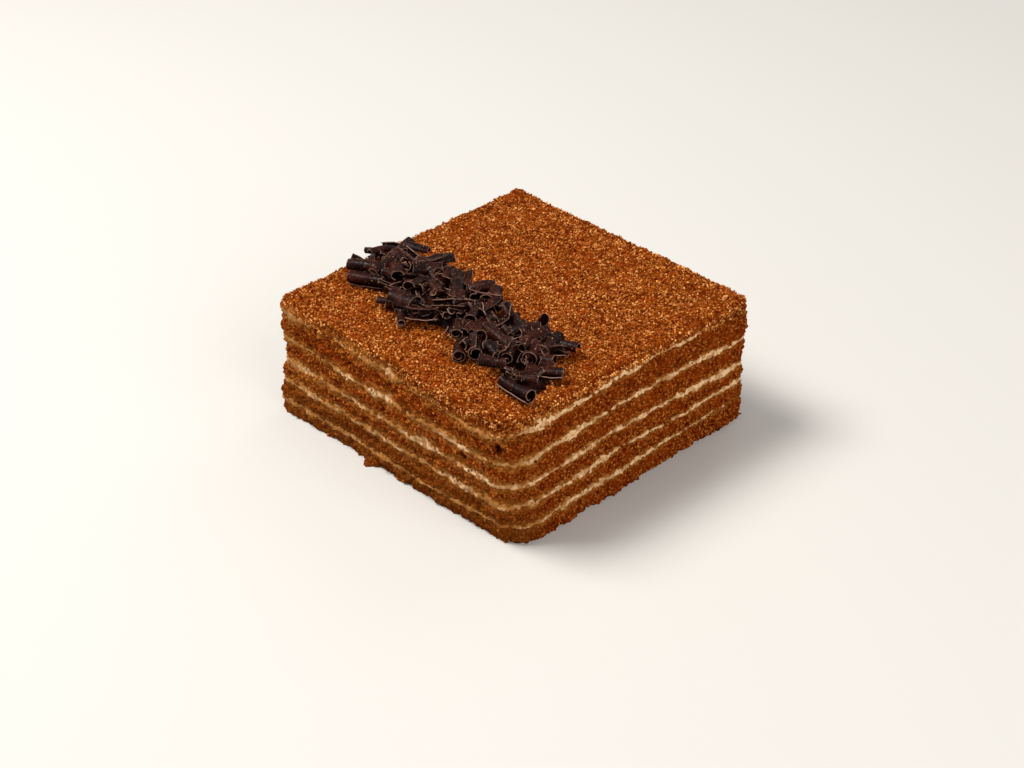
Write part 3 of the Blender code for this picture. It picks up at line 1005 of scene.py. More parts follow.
@dataclass(frozen=True)
class ChocolateFinish:
    """Dark chocolate: near black on its smooth side, with a painted highlight along its edges."""

    name: str = "chocolate"
    dark: Colour = (0.0050, 0.0004, 0.0002)
    brown: Colour = (0.030, 0.0042, 0.0013)
    # Painted highlight: the pale colour laid along the shavings' edges.
    edge: Colour = (0.190, 0.100, 0.072)
    crumb: Colour = (0.19, 0.100, 0.060)
    rib_stretch: Place = (3600.0, 160.0, 1.0)
    rib_span: Span = (0.52, 0.75)
    rib_share: float = 0.55
    patch: float = 0.0040
    patch_span: Span = (0.40, 0.70)
    grit: float = 0.0009
    # Painted highlight: how fine noise breaks up the edge mask, and where it turns pale.
    highlight_grit: float = 0.9
    highlight_start: float = -0.56
    highlight_span: Span = (0.55, 1.0)
    dust_spacing: float = 0.0007
    dust_amount: float = 0.26
    roughness: float = 0.31
    gloss_span: Span = (0.35, 0.60)
    glossier: float = 0.06
    duller: float = 0.24
    specular: float = 0.10
    bump: float = 0.9
    relief: float = 0.00014

    def material(self, effects: EffectLibrary) -> Material:
        """Build the material.

        Args:
            effects: The shared shader groups.

        Returns:
            The finished material.
        """
        board, made = start_material(self.name)
        place = object_place(board)
        ribs = board.add("TexNoise")
        stretch = board.add("VectorMath", operation="MULTIPLY")
        board.join(board.add("UVMap", uv_map="shaving").outputs["UV"], stretch.inputs[0])
        stretch.inputs[1].default_value = self.rib_stretch
        board.join(stretch.outputs["Vector"], ribs.inputs["Vector"])
        ribs.inputs["Scale"].default_value = 1.0
        ribs.inputs["Detail"].default_value = FINE_DETAIL
        rib = ribs.outputs["Fac"]
        cloudy = board.cloud(place, self.patch, FINE_DETAIL)
        body = board.blend(board.spread(cloudy, *self.patch_span), self.dark, self.brown)
        body = board.blend(board.spread(rib, *self.rib_span, 0.0, self.rib_share), body, self.brown)
        fine = board.cloud(place, self.grit)
        # Painted highlight: the edges turn pale, broken up by fine noise.
        edge_highlight = board.sum_of("ADD", attribute(board, "edge_highlight"), self.highlight_start)
        highlight_share = board.sum_of("MULTIPLY_ADD", fine, self.highlight_grit, edge_highlight)
        body = board.blend(board.spread(highlight_share, *self.highlight_span), body, self.edge)
        dust = use_group(
            board, effects.dust, Place=place, Spacing=self.dust_spacing, Amount=self.dust_amount
        )
        body = board.blend(dust.outputs["Speck"], body, self.crumb)
        gloss = (self.roughness - self.glossier, self.roughness + self.duller)
        roughness = board.spread(fine, *self.gloss_span, *gloss)
        shader = set_surface(board, body, roughness, self.specular)
        height = board.sum_of("ADD", board.sum_of("ADD", rib, fine), dust.outputs["Speck"])
        add_bump(board, shader, height, self.bump, self.relief)
        return made


def finish_piece(
    name: str, mesh: Mesh, material: Material, replaced: tuple[str, ...] = ()
) -> None:
    """Turn a finished mesh into a piece that rides on the cake.

    Args:
        name: The piece's name.
        mesh: The mesh, already in place.
        material: Its material.
        replaced: The solids that it stands for.
    """
    mesh.name = name
    mesh.materials.clear()
    mesh.materials.append(material)
    piece = bpy.data.objects.new(name, mesh)
    bpy.context.scene.collection.objects.link(piece)
    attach(piece, "root")
    if replaced:
        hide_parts(*replaced)
    LOG.info("%s: %d faces", name, len(mesh.polygons))


def mesh_of(bm: BMesh, name: str) -> Mesh:
    """Turn a bmesh into a mesh of its own and free it.

    Args:
        bm: The bmesh.
        name: The mesh's name.

    Returns:
        The new mesh.
    """
    mesh = bpy.data.meshes.new(name)
    bm.to_mesh(mesh)
    bm.free()
    return mesh


def close_up(bm: BMesh) -> None:
    """Close the open borders with fans of faces and turn every face outward."""
    rims = [edge for edge in bm.edges if edge.is_boundary]
    bmesh.ops.poke(bm, faces=bmesh.ops.holes_fill(bm, edges=rims, sides=0)["faces"])
    bmesh.ops.recalc_face_normals(bm, faces=bm.faces[:])


def read_places(mesh: Mesh) -> Array:
    """Read a mesh's vertices as one row each."""
    places = np.empty(len(mesh.vertices) * 3, np.float32)
    mesh.vertices.foreach_get("co", places)
    return places.reshape(-1, 3).astype(float)


def write_places(mesh: Mesh, places: Array) -> None:
    """Write a mesh's vertices from one row each."""
    mesh.vertices.foreach_set("co", places.astype(np.float32).ravel())
    mesh.update()


def write_value(mesh: Mesh, name: str, values: Array) -> None:
    """Write one number for each vertex as an attribute."""
    layer = mesh.attributes.new(name, "FLOAT", "POINT")
    layer.data.foreach_set("value", values.astype(np.float32))


def side_band(
    columns: int, rows: int, place: Callable[[Array, Array], Pair]
) -> Mesh:
    """Wrap a fine grid once round the slab and close it above and below.

    Args:
        columns: Faces round the slab.
        rows: Faces from the bottom of the band to its top.
        place: Gives the place and the nearness to cream for each station and height share.

    Returns:
        A closed mesh with its nearness attribute.
    """
    bm = bmesh.new()
    bmesh.ops.create_grid(bm, x_segments=columns, y_segments=rows, size=1.0)
    mesh = mesh_of(bm, "band")
    grid = read_places(mesh)
    at = np.rint((grid[:, 0] + 1.0) / 2.0 * columns) / columns * SIDES_ROUND
    share = np.rint((grid[:, 1] + 1.0) / 2.0 * rows) / rows
    places, nearness = place(at % SIDES_ROUND, share)
    write_places(mesh, places)
    write_value(mesh, "nearness", nearness)
    bm = bmesh.new()
    bm.from_mesh(mesh)
    seam = [vert for vert in bm.verts if vert.is_boundary]
    bmesh.ops.remove_doubles(bm, verts=seam, dist=SAME_PLACE)
    close_up(bm)
    bm.to_mesh(mesh)
    bm.free()
    mesh.shade_smooth()
    return mesh


@dataclass(frozen=True)
class CutEdge:
    """How crumb meets cream at the cut: it turns in as a torn lip and takes up a stain."""

    shape: SlabShape
    levels: CreamLevels
    soak_reach: float = 0.0007
    smear_reach: float = 0.0011
    gap: float = 0.0001
    lip_depth: float = 0.0011
    lip_size: float = 0.0004
    lip_full: float = 0.0005
    smudge: float = 0.26
    shallow: float = 0.68

    def meet(self, cream: int, at: Array, away: Array, z: Array) -> Pair:
        """Work out the lip and the stain of crumb beside a cream layer.

        Args:
            cream: The cream layer, counted from 0 at the bottom.
            at: Stations in sides.
            away: Each point's height above or below the cream's middle.
            z: Each point's height in metres.

        Returns:
            How far each point turns in, and its nearness to cream that shows, 0 to 1.
        """
        shown = self.levels.showing(cream, at)
        torn = np.clip(away + self.shape.torn(at, z), 0.0, None)
        smeared = self.levels.smeared(at)
        full = np.clip(shown / self.lip_full, 0.0, 1.0) * (1.0 - self.shallow * smeared)
        inset = self.lip_depth * full * np.exp(-((torn / self.lip_size) ** 2))
        reach = self.soak_reach + self.smear_reach * smeared
        past = np.clip(torn - shown, 0.0, None)
        return inset, np.maximum(np.exp(-((past / reach) ** 2)), self.smudge * smeared)


@dataclass
class BakedLayers:
    """The five baked layers, with the open crumb of their cut edges."""

    shape: SlabShape
    levels: CreamLevels
    edge: CutEdge
    finish: CrumbFinish
    columns: int = 1200
    row_height: float = 0.00028
    fewest_rows: int = 6
    measured_at: Span = (0.5, 1.5)
    bulge: float = 0.0003

    def _span(self, layer: int, at: Array) -> Pair:
        """Give the heights between which a layer's edge runs, from one cream's middle to the next."""
        low = self.levels.middle(layer - 1, at) + self.edge.gap if layer else np.zeros_like(at)
        return low, self.levels.middle(layer, at) - self.edge.gap

    def _place(self, layer: int, at: Array, share: Array) -> Pair:
        """Place the points of one layer's edge.

        Args:
            layer: The layer, counted from 0 at the bottom.
            at: Stations in sides.
            share: Shares of the layer's height.

        Returns:
            The places and their nearness to cream.
        """
        low, high = self._span(layer, at)
        z = low + (high - low) * share
        inset, nearness = self.edge.meet(layer, at, high - z, z)
        if layer:
            below, stained = self.edge.meet(layer - 1, at, z - low, z)
            inset += below
            nearness = np.maximum(nearness, stained)
        return self.shape.crumbly(at, z, self.bulge * np.sin(math.pi * share) - inset), nearness

    def build(self, effects: EffectLibrary) -> None:
        """Build every baked layer and dress it.

        Args:
            effects: The shared shader groups.
        """
        material = self.finish.material(effects)
        for layer in range(self.levels.count()):
            low, high = self._span(layer, np.array(self.measured_at))
            rows = max(self.fewest_rows, round(float((high - low).mean()) / self.row_height))
            mesh = side_band(self.columns, rows, lambda at, share, n=layer: self._place(n, at, share))
            number = layer + 1
            finish_piece(f"baked_layer_{number}", mesh, material, (f"sponge_{number}",))


@dataclass
class CreamLayers:
    """The five cream layers, which smear over the crumb beside them and thin out in places."""

    shape: SlabShape
    levels: CreamLevels
    finish: CreamFinish
    columns: int = 1200
    rows: int = 14
    skirt: float = 0.00055
    least: float = 0.00025
    stand: float = 0.00026
    smeared_stand: float = 0.00010
    sink: float = 0.0012
    smear_length: float = 0.0060
    smear: float = 0.00040
    grit_length: float = 0.0008
    grit: float = 0.00042
    lowest: float = 0.0002
    edge_soak: float = 0.50
    edge_most: float = 1.3

    def _place(self, layer: int, at: Array, share: Array) -> Pair:
        """Place the points of one cream layer's edge.

        Args:
            layer: The layer, counted from 0 at the bottom.
            at: Stations in sides.
            share: Shares of the layer's height.

        Returns:
            The places and how far the cream is soaked away there.
        """
        across = 2.0 * share - 1.0
        shown = self.levels.showing(layer, at)
        half = np.maximum(shown, self.least)
        z = np.maximum(self.levels.middle(layer, at) + across * (half + self.skirt), self.lowest)
        flat = self.shape.face(at, z, 0.0)
        torn = np.clip(np.abs(across) * (half + self.skirt) + self.shape.torn(at, z), 0.0, None)
        from_middle = torn / half
        stand = self.stand + self.smeared_stand * self.levels.smeared(at)
        bead = np.maximum(stand * (1.0 - from_middle**2), -self.sink)
        bead -= self.sink * np.clip(1.0 - shown / self.least, 0.0, 1.0)
        smear = self.smear * noise_at(flat, self.smear_length, Rough.SMEAR)
        gritty = self.grit * noise_at(flat, self.grit_length, Rough.CREAM_GRIT)
        fringe = self.edge_soak * np.minimum(from_middle, self.edge_most) ** 2
        soaked = self.levels.faded(layer, at) + fringe
        return self.shape.face(at, z, bead + smear + gritty), np.clip(soaked, 0.0, 1.0)

    def build(self, effects: EffectLibrary) -> None:
        """Build every cream layer and dress it.

        Args:
            effects: The shared shader groups.
        """
        material = self.finish.material(effects)
        for layer in range(self.levels.count()):
            mesh = side_band(self.columns, self.rows, lambda at, share, n=layer: self._place(n, at, share))
            number = layer + 1
            finish_piece(f"cream_layer_{number}", mesh, material, (f"cream_{number}",))


@dataclass
class CrumbCoat:
    """The coat of crumbs over the last cream, round the top edge and across the top."""

    shape: SlabShape
    levels: CreamLevels
    edge: CutEdge
    finish: CrumbFinish
    cells_x: int = 262
    cells_y: int = 254
    side_rows: int = 14
    top: float = 0.0396
    edge_drop: float = 0.0012
    edge_reach: float = 0.0016
    crumb_size: float = 0.0010
    crumb_relief: float = 0.00060
    swell_size: float = 0.0042
    swell_relief: float = 0.00055
    rim_relief: float = 0.75
    mound: float = 0.0010
    mound_spot: Span = (-1.0, 1.0)
    mound_width: float = 0.09
    bulge: float = 0.0003
    shoulder: float = 3.0

    def surface(self, a: Array, b: Array) -> Array:
        """Place points of the top, which rounds over at its edge.

        Args:
            a: Places along X, from -1 to 1.
            b: Places along Y, from -1 to 1.

        Returns:
            One row of x, y and z for each point.
        """
        inset_x = (1.0 - np.abs(a)) * self.shape.side_x / 2.0
        inset_y = (1.0 - np.abs(b)) * self.shape.side_y / 2.0
        inset = np.clip(np.minimum(inset_x, inset_y) / self.edge_reach, 0.0, 1.0)
        drop = self.edge_drop * (1.0 - np.sqrt(np.clip(1.0 - (1.0 - inset) ** 2, 0.0, 1.0)))
        flat = self.shape.places(a, b, self.top - drop)
        relief = self.crumb_relief * noise_at(flat, self.crumb_size, Rough.COAT)
        relief += self.swell_relief * noise_at(flat, self.swell_size, Rough.SWELL)
        away = (a - self.mound_spot[0]) ** 2 + (b - self.mound_spot[1]) ** 2
        mound = self.mound * np.exp(-away / self.mound_width**2)
        flat[:, 2] += mound + relief * (self.rim_relief + (1.0 - self.rim_relief) * inset)
        return flat

    def _side(self, at: Array, share: float) -> Pair:
        """Place one row of the coat's side.

        Args:
            at: Stations in sides.
            share: How far down the row lies, from the edge to the last cream's middle.

        Returns:
            One row of x, y and z for each station, and its nearness to the cream.
        """
        cream = self.levels.count() - 1
        rim = self.surface(*self.shape.square_spot(at))
        floor = self.levels.middle(cream, at) + self.edge.gap
        z = rim[:, 2] + (floor - rim[:, 2]) * share
        inset, nearness = self.edge.meet(cream, at, z - floor, z)
        rough = self.shape.crumbly(at, z, self.bulge * math.sin(math.pi * share) - inset)
        return rim + (rough - rim) * min(1.0, share * self.shoulder), nearness

    @staticmethod
    def _station(a: Array, b: Array) -> Array:
        """Say how far round the slab, in sides, each of the square's border points lies.

        Args:
            a: Places along X, from -1 to 1.
            b: Places along Y, from -1 to 1.

        Returns:
            One station for each point.
        """
        on_side = [b < -ON_BORDER, a > ON_BORDER, b > ON_BORDER]
        shares = [(1.0 + a) / 2.0, (1.0 + b) / 2.0, (1.0 - a) / 2.0, (1.0 - b) / 2.0]
        stations = [side.value + share for side, share in zip(Side, shares)]
        return np.select(on_side, stations[:-1], stations[-1])

    def _settle(self, mesh: Mesh) -> None:
        """Move the finished grid's vertices to their places, each row of the side by its depth.

        Args:
            mesh: The coat's mesh, with its top at 0 and its side's rows one below another.
        """
        grid = read_places(mesh)
        row = np.rint(-grid[:, 2]).astype(int)
        rim = np.maximum(np.abs(grid[:, 0]), np.abs(grid[:, 1])) > ON_BORDER
        places = grid.copy()
        nearness = np.zeros(len(grid))
        places[row == 0] = self.surface(grid[row == 0, 0], grid[row == 0, 1])
        for number in range(1, self.side_rows + 1):
            block = (row == number) & rim
            at = self._station(grid[block, 0], grid[block, 1])
            places[block], nearness[block] = self._side(at, number / self.side_rows)
        places[(row > 0) & ~rim] = places[(row == self.side_rows) & rim].mean(axis=0)
        write_places(mesh, places)
        write_value(mesh, "nearness", nearness)
        mesh.shade_smooth()

    def build(self, effects: EffectLibrary) -> None:
        """Build the coat and dress it.

        Args:
            effects: The shared shader groups.
        """
        bm = bmesh.new()
        bmesh.ops.create_grid(bm, x_segments=self.cells_x, y_segments=self.cells_y, size=1.0)
        for _ in range(self.side_rows):
            rim = [edge for edge in bm.edges if edge.is_boundary]
            grown = bmesh.ops.extrude_edge_only(bm, edges=rim)["geom"]
            fresh = [item for item in grown if isinstance(item, bmesh.types.BMVert)]
            bmesh.ops.translate(bm, verts=fresh, vec=(0.0, 0.0, -1.0))
        close_up(bm)
        mesh = mesh_of(bm, "coat")
        self._settle(mesh)
        material = self.finish.material(effects)
        finish_piece("coat_of_crumbs", mesh, material, ("crumb_coat",))


@dataclass(frozen=True)
class Curl:
    """A rolled shaving: millimetres and degrees, as measured on the cake's top."""

    x: float
    y: float
    heading: float
    pitch: float
    length: float
    radius: float
    sweep: float
    facing: float = 90.0
    lift: float = 0.0


@dataclass(frozen=True)
class CurlRange:
    """Between what limits the curls of one kind are drawn, in millimetres and degrees."""

    pitch: float
    length: Span
    radius: Span
    sweep: Span
    heading: float = 90.0

    def draw(self, x: float, y: float, draw: random.Random) -> Curl:
        """Draw one curl, whose facing and lift are still the plain ones.

        Args:
            x: Its place along X in metres.
            y: Its place along Y in metres.
            draw: Draws its sizes.

        Returns:
            The curl.
        """
        heading = draw.uniform(-self.heading, self.heading)
        pitch = draw.gauss(0, self.pitch)
        length, radius, sweep = (draw.uniform(*span) for span in (self.length, self.radius, self.sweep))
        return Curl(x / MM, y / MM, heading, pitch, length, radius, sweep)


SHOWN_CURLS = (
    Curl(37.3, -36.2, 0, 0, 10.6, 1.9, 300, 60),
    Curl(37.0, -25.3, 31, 0, 9.6, 2.1, 320, 60),
    Curl(-2.8, -9.3, 54, 5, 8.0, 2.4, 320, 120),
    Curl(-19.7, -13.3, -5, 0, 8.5, 2.3, 320, 100),
    Curl(-12.6, -18.4, -20, 0, 8.0, 1.8, 300),
    Curl(20.0, -24.8, -7, -5, 12.5, 1.9, 280),
    Curl(28.2, -19.9, -30, -8, 12.0, 1.5, 200),
    Curl(11.2, -16.5, -45, 8, 9.0, 4.2, 170, 270),
    Curl(22.0, -11.8, 40, 60, 5.0, 1.9, 150, 0),
    Curl(26.1, -14.1, -45, 0, 5.0, 1.5, 320),
    Curl(31.9, -13.0, 23, 0, 7.6, 1.7, 240),
    Curl(-34.5, -23.0, 25, 0, 10.7, 1.9, 290),
    Curl(-30.1, -26.8, 27, 0, 10.0, 1.8, 290),
    Curl(-38.6, -8.5, 29, 0, 8.5, 1.5, 250),
    Curl(-41.6, -13.5, 29, 0, 5.5, 1.5, 250),
    Curl(-21.5, -6.8, 62, 5, 8.0, 2.2, 170),
    Curl(-8.3, -33.4, -45, 0, 5.0, 1.6, 320),
    Curl(-12.9, -28.8, 10, 0, 8.0, 2.8, 170),
    Curl(-5.0, -29.0, 40, 0, 8.5, 2.4, 250),
    Curl(14.0, -33.6, -45, 0, 6.0, 2.0, 320),
    Curl(17.5, -30.8, -45, 0, 7.0, 2.1, 320),
    Curl(7.6, -27.9, -50, 5, 7.0, 2.0, 310),
    Curl(30.0, -22.8, -60, 0, 7.0, 1.9, 300),
    Curl(25.4, -32.4, 30, 0, 7.0, 1.8, 200),
    Curl(26.0, -27.0, -60, 0, 7.0, 2.0, 300),
    Curl(-16.6, -30.0, 30, 0, 7.0, 1.6, 230, 60),
    Curl(32.3, -17.9, 60, 0, 7.0, 1.9, 250),
    Curl(3.0, -14.0, 20, 0, 9.0, 2.4, 240),
    Curl(-1.5, -22.0, 45, 0, 9.5, 2.0, 260),
    Curl(6.5, -21.0, -60, 4, 8.0, 2.0, 280),
    Curl(-9.0, -14.5, 10, 0, 8.0, 2.0, 240),
    Curl(12.5, -24.5, -80, 0, 7.0, 1.8, 280),
)


@dataclass(frozen=True)
class HeapShape:
    """The heap of curls: its middle line, its rise and its core's outline."""

    base: float = 0.0403
    shift_x: float = 0.0010
    shift_y: float = -0.0002
    rise: float = 0.0024
    line_y: float = -0.0185
    line_slope: float = -0.12
    half_width: float = 0.0125
    start: float = -0.0400
    end: float = 0.0370
    taper: float = 0.010
    fillers: int = 27
    filler_step: Span = (0.2, 0.8)
    filler_spread: float = 0.72
    filler_range: CurlRange = CurlRange(9.0, (7.0, 10.0), (1.4, 2.1), (190.0, 300.0))
    filler_facing: Span = (90.0, 50.0)
    filler_seed: int = 11
    near_points: int = 11
    outline: tuple[tuple[float, float], ...] = (
        (-0.0420, -0.0130), (-0.0400, -0.0210), (-0.0330, -0.0275), (-0.0255, -0.0255),
        (-0.0180, -0.0305), (-0.0080, -0.0320), (0.0000, -0.0285), (0.0120, -0.0325),
        (0.0200, -0.0300), (0.0330, -0.0368), (0.0400, -0.0368), (0.0395, -0.0215),
        (0.0330, -0.0135), (0.0180, -0.0105), (0.0000, -0.0085), (-0.0120, -0.0115),
        (-0.0220, -0.0065), (-0.0360, -0.0070),
    )

    def edges(self, x: float) -> tuple[float, float]:
        """Give where the heap's near and far edges run at a place along X."""
        near = self.outline[:self.near_points]
        far = (self.outline[self.near_points:] + self.outline[:1])[::-1]
        return tuple(float(np.interp(x, *zip(*side))) for side in (near, far))

    def height(self, x: float, y: float) -> float:
        """Give the heap's height above its edge.

        Args:
            x: The place along X.
            y: The place along Y.

        Returns:
            The height in metres.
        """
        middle = self.line_y + self.line_slope * x
        off = min(1.0, abs(y - middle) / self.half_width)
        from_start = max(0.0, (x - self.start) / self.taper)
        to_end = max(0.0, (self.end - x) / self.taper)
        ends = min(1.0, from_start, to_end)
        return self.rise * (1.0 - off * off) * ends

    def draw_fillers(self) -> list[Curl]:
        """Draw the curls that fill the heap, as the solids have them."""
        draw = random.Random(self.filler_seed)
        curls = []
        for i in range(self.fillers):
            step = i + draw.uniform(*self.filler_step)
            x = self.start + (self.end - self.start) * step / self.fillers
            off = draw.uniform(-self.filler_spread, self.filler_spread)
            y = self.line_y + self.line_slope * x + self.half_width * off
            curl = self.filler_range.draw(x, y, draw)
            curls.append(replace(curl, facing=draw.gauss(*self.filler_facing)))
        return curls

    def place(self, curl: Curl) -> Matrix:
        """Place a curl on the heap, its length along its heading.

        Args:
            curl: The curl.

        Returns:
            The matrix that takes the curl from its own axes to the cake's.
        """
        x = curl.x * MM
        y = curl.y * MM
        lean = abs(math.sin(math.radians(curl.pitch))) * curl.length * MM / 2.0
        z = self.base + curl.radius * MM + max(self.height(x, y), lean) + curl.lift * MM
        turn = Matrix.Rotation(math.radians(curl.heading), 4, "Z")
        tilt = Matrix.Rotation(math.radians(-curl.pitch), 4, "Y")
        return Matrix.Translation((x + self.shift_x, y + self.shift_y, z)) @ turn @ tilt


@dataclass
class ChocolateHeap:
    """The strip of chocolate: a dark core, the rolled shavings and the chips between them."""

    shape: HeapShape
    finish: ChocolateFinish
    around: int = 26
    along: int = 20
    wall: float = 0.00027
    tighten: float = 0.22
    spiral_from: float = 275.0
    spiral_sweep: float = 1.45
    spiral_tighten: float = 0.46
    plain_facing: float = 90.0
    turned_share: float = 0.40
    turned_by: Span = (110.0, 250.0)
    seeds: float = 90.0
    cone: float = 0.14
    bend: float = 0.07
    flattest: float = 0.78
    # Painted highlight: how far from a shaving's ends and lips the pale edge reaches.
    highlight_width: float = 0.05
    ragged: float = 0.10
    ragged_waves: float = 5.0
    ragged_apart: float = 3.0
    wobble: float = 0.12
    wobble_waves: Span = (1.5, 3.0)
    twist: float = 0.10
    twist_waves: float = 2.5
    sharp: float = 50.0
    core_inset: float = 0.0024
    core_far: float = 0.0032
    core_slope: float = 0.0020
    core_relief: float = 0.0016
    core_lump: float = 0.0018
    core_depth: float = 0.0018
    core_brim: float = 0.0002
    core_sink: float = 0.0012
    core_step: float = 0.0022
    core_step_rise: float = 0.0006
    core_cuts: int = 3
    bury: float = 0.0006
    most: float = 0.0064
    press: float = 0.65
    rib_length: float = 0.00055
    rib: float = 0.00007
    chips: int = 180
    chip_around: int = 10
    chip_along: int = 6
    chip_spread: float = 0.92
    chip_range: CurlRange = CurlRange(18.0, (2.2, 5.6), (0.5, 1.5), (60.0, 230.0))
    chip_facing: Span = (0.0, 360.0)
    chip_lift: Span = (0.0, 1.0)
    seed: int = 5
    surfaces: list[BVHTree] = field(default_factory=list)

    def _roll(self, bm: BMesh, curl: Curl, draw: random.Random, around: int, along: int) -> None:
        """Roll one thin shaving and add it to a bmesh.

        Args:
            bm: Where the shaving is added.
            curl: Its size and place.
            draw: Draws its unevenness.
            around: Faces round its roll.
            along: Faces along its length.
        """
        own = bmesh.new()
        bmesh.ops.create_grid(own, x_segments=along, y_segments=around, size=1.0)
        edge = own.verts.layers.float.new("edge_highlight")
        trace = own.loops.layers.uv.new("shaving")
        length = curl.length * MM
        spiral = curl.sweep >= self.spiral_from
        sweep = math.radians(curl.sweep * (self.spiral_sweep if spiral else 1.0))
        tighten = self.spiral_tighten if spiral else self.tighten
        start = math.radians(self._turned(curl, draw)) - sweep / 2.0
        seed = draw.uniform(0.0, self.seeds)
        cone = draw.uniform(-self.cone, self.cone)
        bend = draw.uniform(-self.bend, self.bend)
        flat = draw.uniform(self.flattest, 1.0)
        for face in own.faces:
            for loop in face.loops:
                spot = loop.vert.co
                loop[trace].uv = (spot.x * length / 2.0, spot.y * sweep * curl.radius * MM / 2.0)
        for vert in own.verts:
            u = vert.co.x
            share = (vert.co.y + 1.0) / 2.0
            near_end = 1.0 - abs(u)
            near_lip = min(share, 1.0 - share) * sweep * curl.radius / curl.length * 2.0
            # Painted highlight mask: 1 at the shaving's ends and lips, fading within the highlight width.
            vert[edge] = math.exp(-((min(near_end, near_lip) / self.highlight_width) ** 2))
            end = math.copysign(self.ragged_apart, u)
            ragged = self.ragged * noise.noise(Vector((share * self.ragged_waves, seed, end)))
            reach = u * (1.0 + ragged * abs(u))
            waves_u, waves_share = self.wobble_waves
            wobble = self.wobble * noise.noise(Vector((u * waves_u, share * waves_share, seed)))
            twist = self.twist * noise.noise(Vector((u * self.twist_waves, seed, share)))
            angle = start + sweep * share + twist
            radius = curl.radius * MM * (1.0 - tighten * share + cone * u + wobble)
            radius += self.rib * noise.noise(Vector((u * length / 2.0 / self.rib_length, share, seed)))
            vert.co = (
                reach * length / 2.0,
                math.cos(angle) * radius,
                math.sin(angle) * radius * flat + bend * length * (u * u - 0.5),
            )
        bmesh.ops.recalc_face_normals(own, faces=own.faces[:])
        bmesh.ops.solidify(own, geom=own.faces[:], thickness=self.wall)
        bmesh.ops.recalc_face_normals(own, faces=own.faces[:])
        own.transform(self.shape.place(curl))
        made = mesh_of(own, "curl")
        bm.from_mesh(made)
        bpy.data.meshes.remove(made)

    def _turned(self, curl: Curl, draw: random.Random) -> float:
        """Turn some of the rolls whose facing isn't known, so that their lips show.

        Args:
            curl: The curl.
            draw: Draws whether it turns and how far.

        Returns:
            Where the middle of the roll's wall looks, in degrees.
        """
        turned = draw.random() < self.turned_share
        extra = draw.uniform(*self.turned_by)
        return curl.facing + extra if turned and curl.facing == self.plain_facing else curl.facing

    def _lift_clear(self, bm: BMesh) -> None:
        """Keep every vertex above the coat, where the heap rests, and below the heap's top."""
        low = self.shape.base - self.bury
        high = self.shape.base + self.most
        for vert in bm.verts:
            over = max(0.0, vert.co.z - high)
            vert.co.z = max(vert.co.z - over * self.press, low)

    def _core(self) -> Mesh:
        """Build the dark mound that closes the gaps under the curls."""
        bm = bmesh.new()
        floor = self.shape.base - self.core_depth
        brim = self.shape.base + self.core_brim
        shift_x = self.shape.shift_x
        shift_y = self.shape.shift_y
        border = [bm.verts.new((x + shift_x, y + shift_y, floor)) for x, y in self.shape.outline]
        face = bm.faces.new(border)
        ring = bmesh.ops.inset_region(bm, faces=[face], thickness=self.core_inset)["faces"]
        bmesh.ops.delete(bm, geom=ring, context="FACES")
        grown = bmesh.ops.extrude_face_region(bm, geom=[face], use_keep_orig=True)["geom"]
        top = next(item for item in grown if isinstance(item, bmesh.types.BMFace))
        bmesh.ops.translate(bm, verts=top.verts[:], vec=(0.0, 0.0, brim - floor))
        bmesh.ops.recalc_face_normals(bm, faces=bm.faces[:])
        bmesh.ops.inset_region(bm, faces=[top], thickness=self.core_step, depth=self.core_step_rise)
        bmesh.ops.triangulate(bm, faces=[item for item in bm.faces if len(item.verts) > 4])
        for _ in range(self.core_cuts):
            bmesh.ops.subdivide_edges(bm, edges=bm.edges[:], cuts=1, use_grid_fill=True)
        # Painted highlight layer, left at 0: the core gets none.
        edge = bm.verts.layers.float.new("edge_highlight")
        bm.loops.layers.uv.new("shaving")
        for vert in bm.verts:
            near, far = self.shape.edges(vert.co.x - shift_x)
            inside = min(vert.co.y - shift_y - near, far - self.core_far + shift_y - vert.co.y)
            slope = min(1.0, max(0.0, (inside - self.core_inset) / self.core_slope))
            bumps = self.core_relief * noise.noise(vert.co / self.core_lump)
            rise = self.shape.height(vert.co.x, vert.co.y) + bumps
            level = brim - self.core_sink * (1.0 - slope) + rise * slope
            share = min(1.0, (vert.co.z - floor) / (brim - floor))
            vert.co.z = floor + share * (level - floor)
            vert[edge] = 0.0
        return mesh_of(bm, "core")

    def _heap_of(self, curls: list[Curl], draw: random.Random, around: int, along: int) -> Mesh:
        """Roll many curls into one mesh.

        Args:
            curls: The curls.
            draw: Draws their unevenness.
            around: Faces round each roll.
            along: Faces along each roll.

        Returns:
            The joined mesh.
        """
        bm = bmesh.new()
        for curl in curls:
            self._roll(bm, curl, draw, around, along)
        self._lift_clear(bm)
        self.surfaces.append(BVHTree.FromBMesh(bm))
        mesh = mesh_of(bm, "curls")
        mesh.shade_smooth()
        mesh.set_sharp_from_angle(angle=math.radians(self.sharp))
        return mesh

    def _draw_chips(self, draw: random.Random) -> list[Curl]:
        """Draw the small broken shavings that lie on and beside the rolls.

        Args:
            draw: Draws their places and sizes.

        Returns:
            The chips.
        """
        chips = []
        for i in range(self.chips):
            x = self.shape.start + (self.shape.end - self.shape.start) * (i + draw.random()) / self.chips
            near, far = self.shape.edges(x)
            off = draw.uniform(-self.chip_spread, self.chip_spread)
            y = (near + far + off * (far - near)) / 2.0
            chip = self.chip_range.draw(x, y, draw)
            facing = draw.uniform(*self.chip_facing)
            lift = draw.uniform(*self.chip_lift) * (1.0 - off * off)
            chips.append(replace(chip, facing=facing, lift=lift))
        return chips

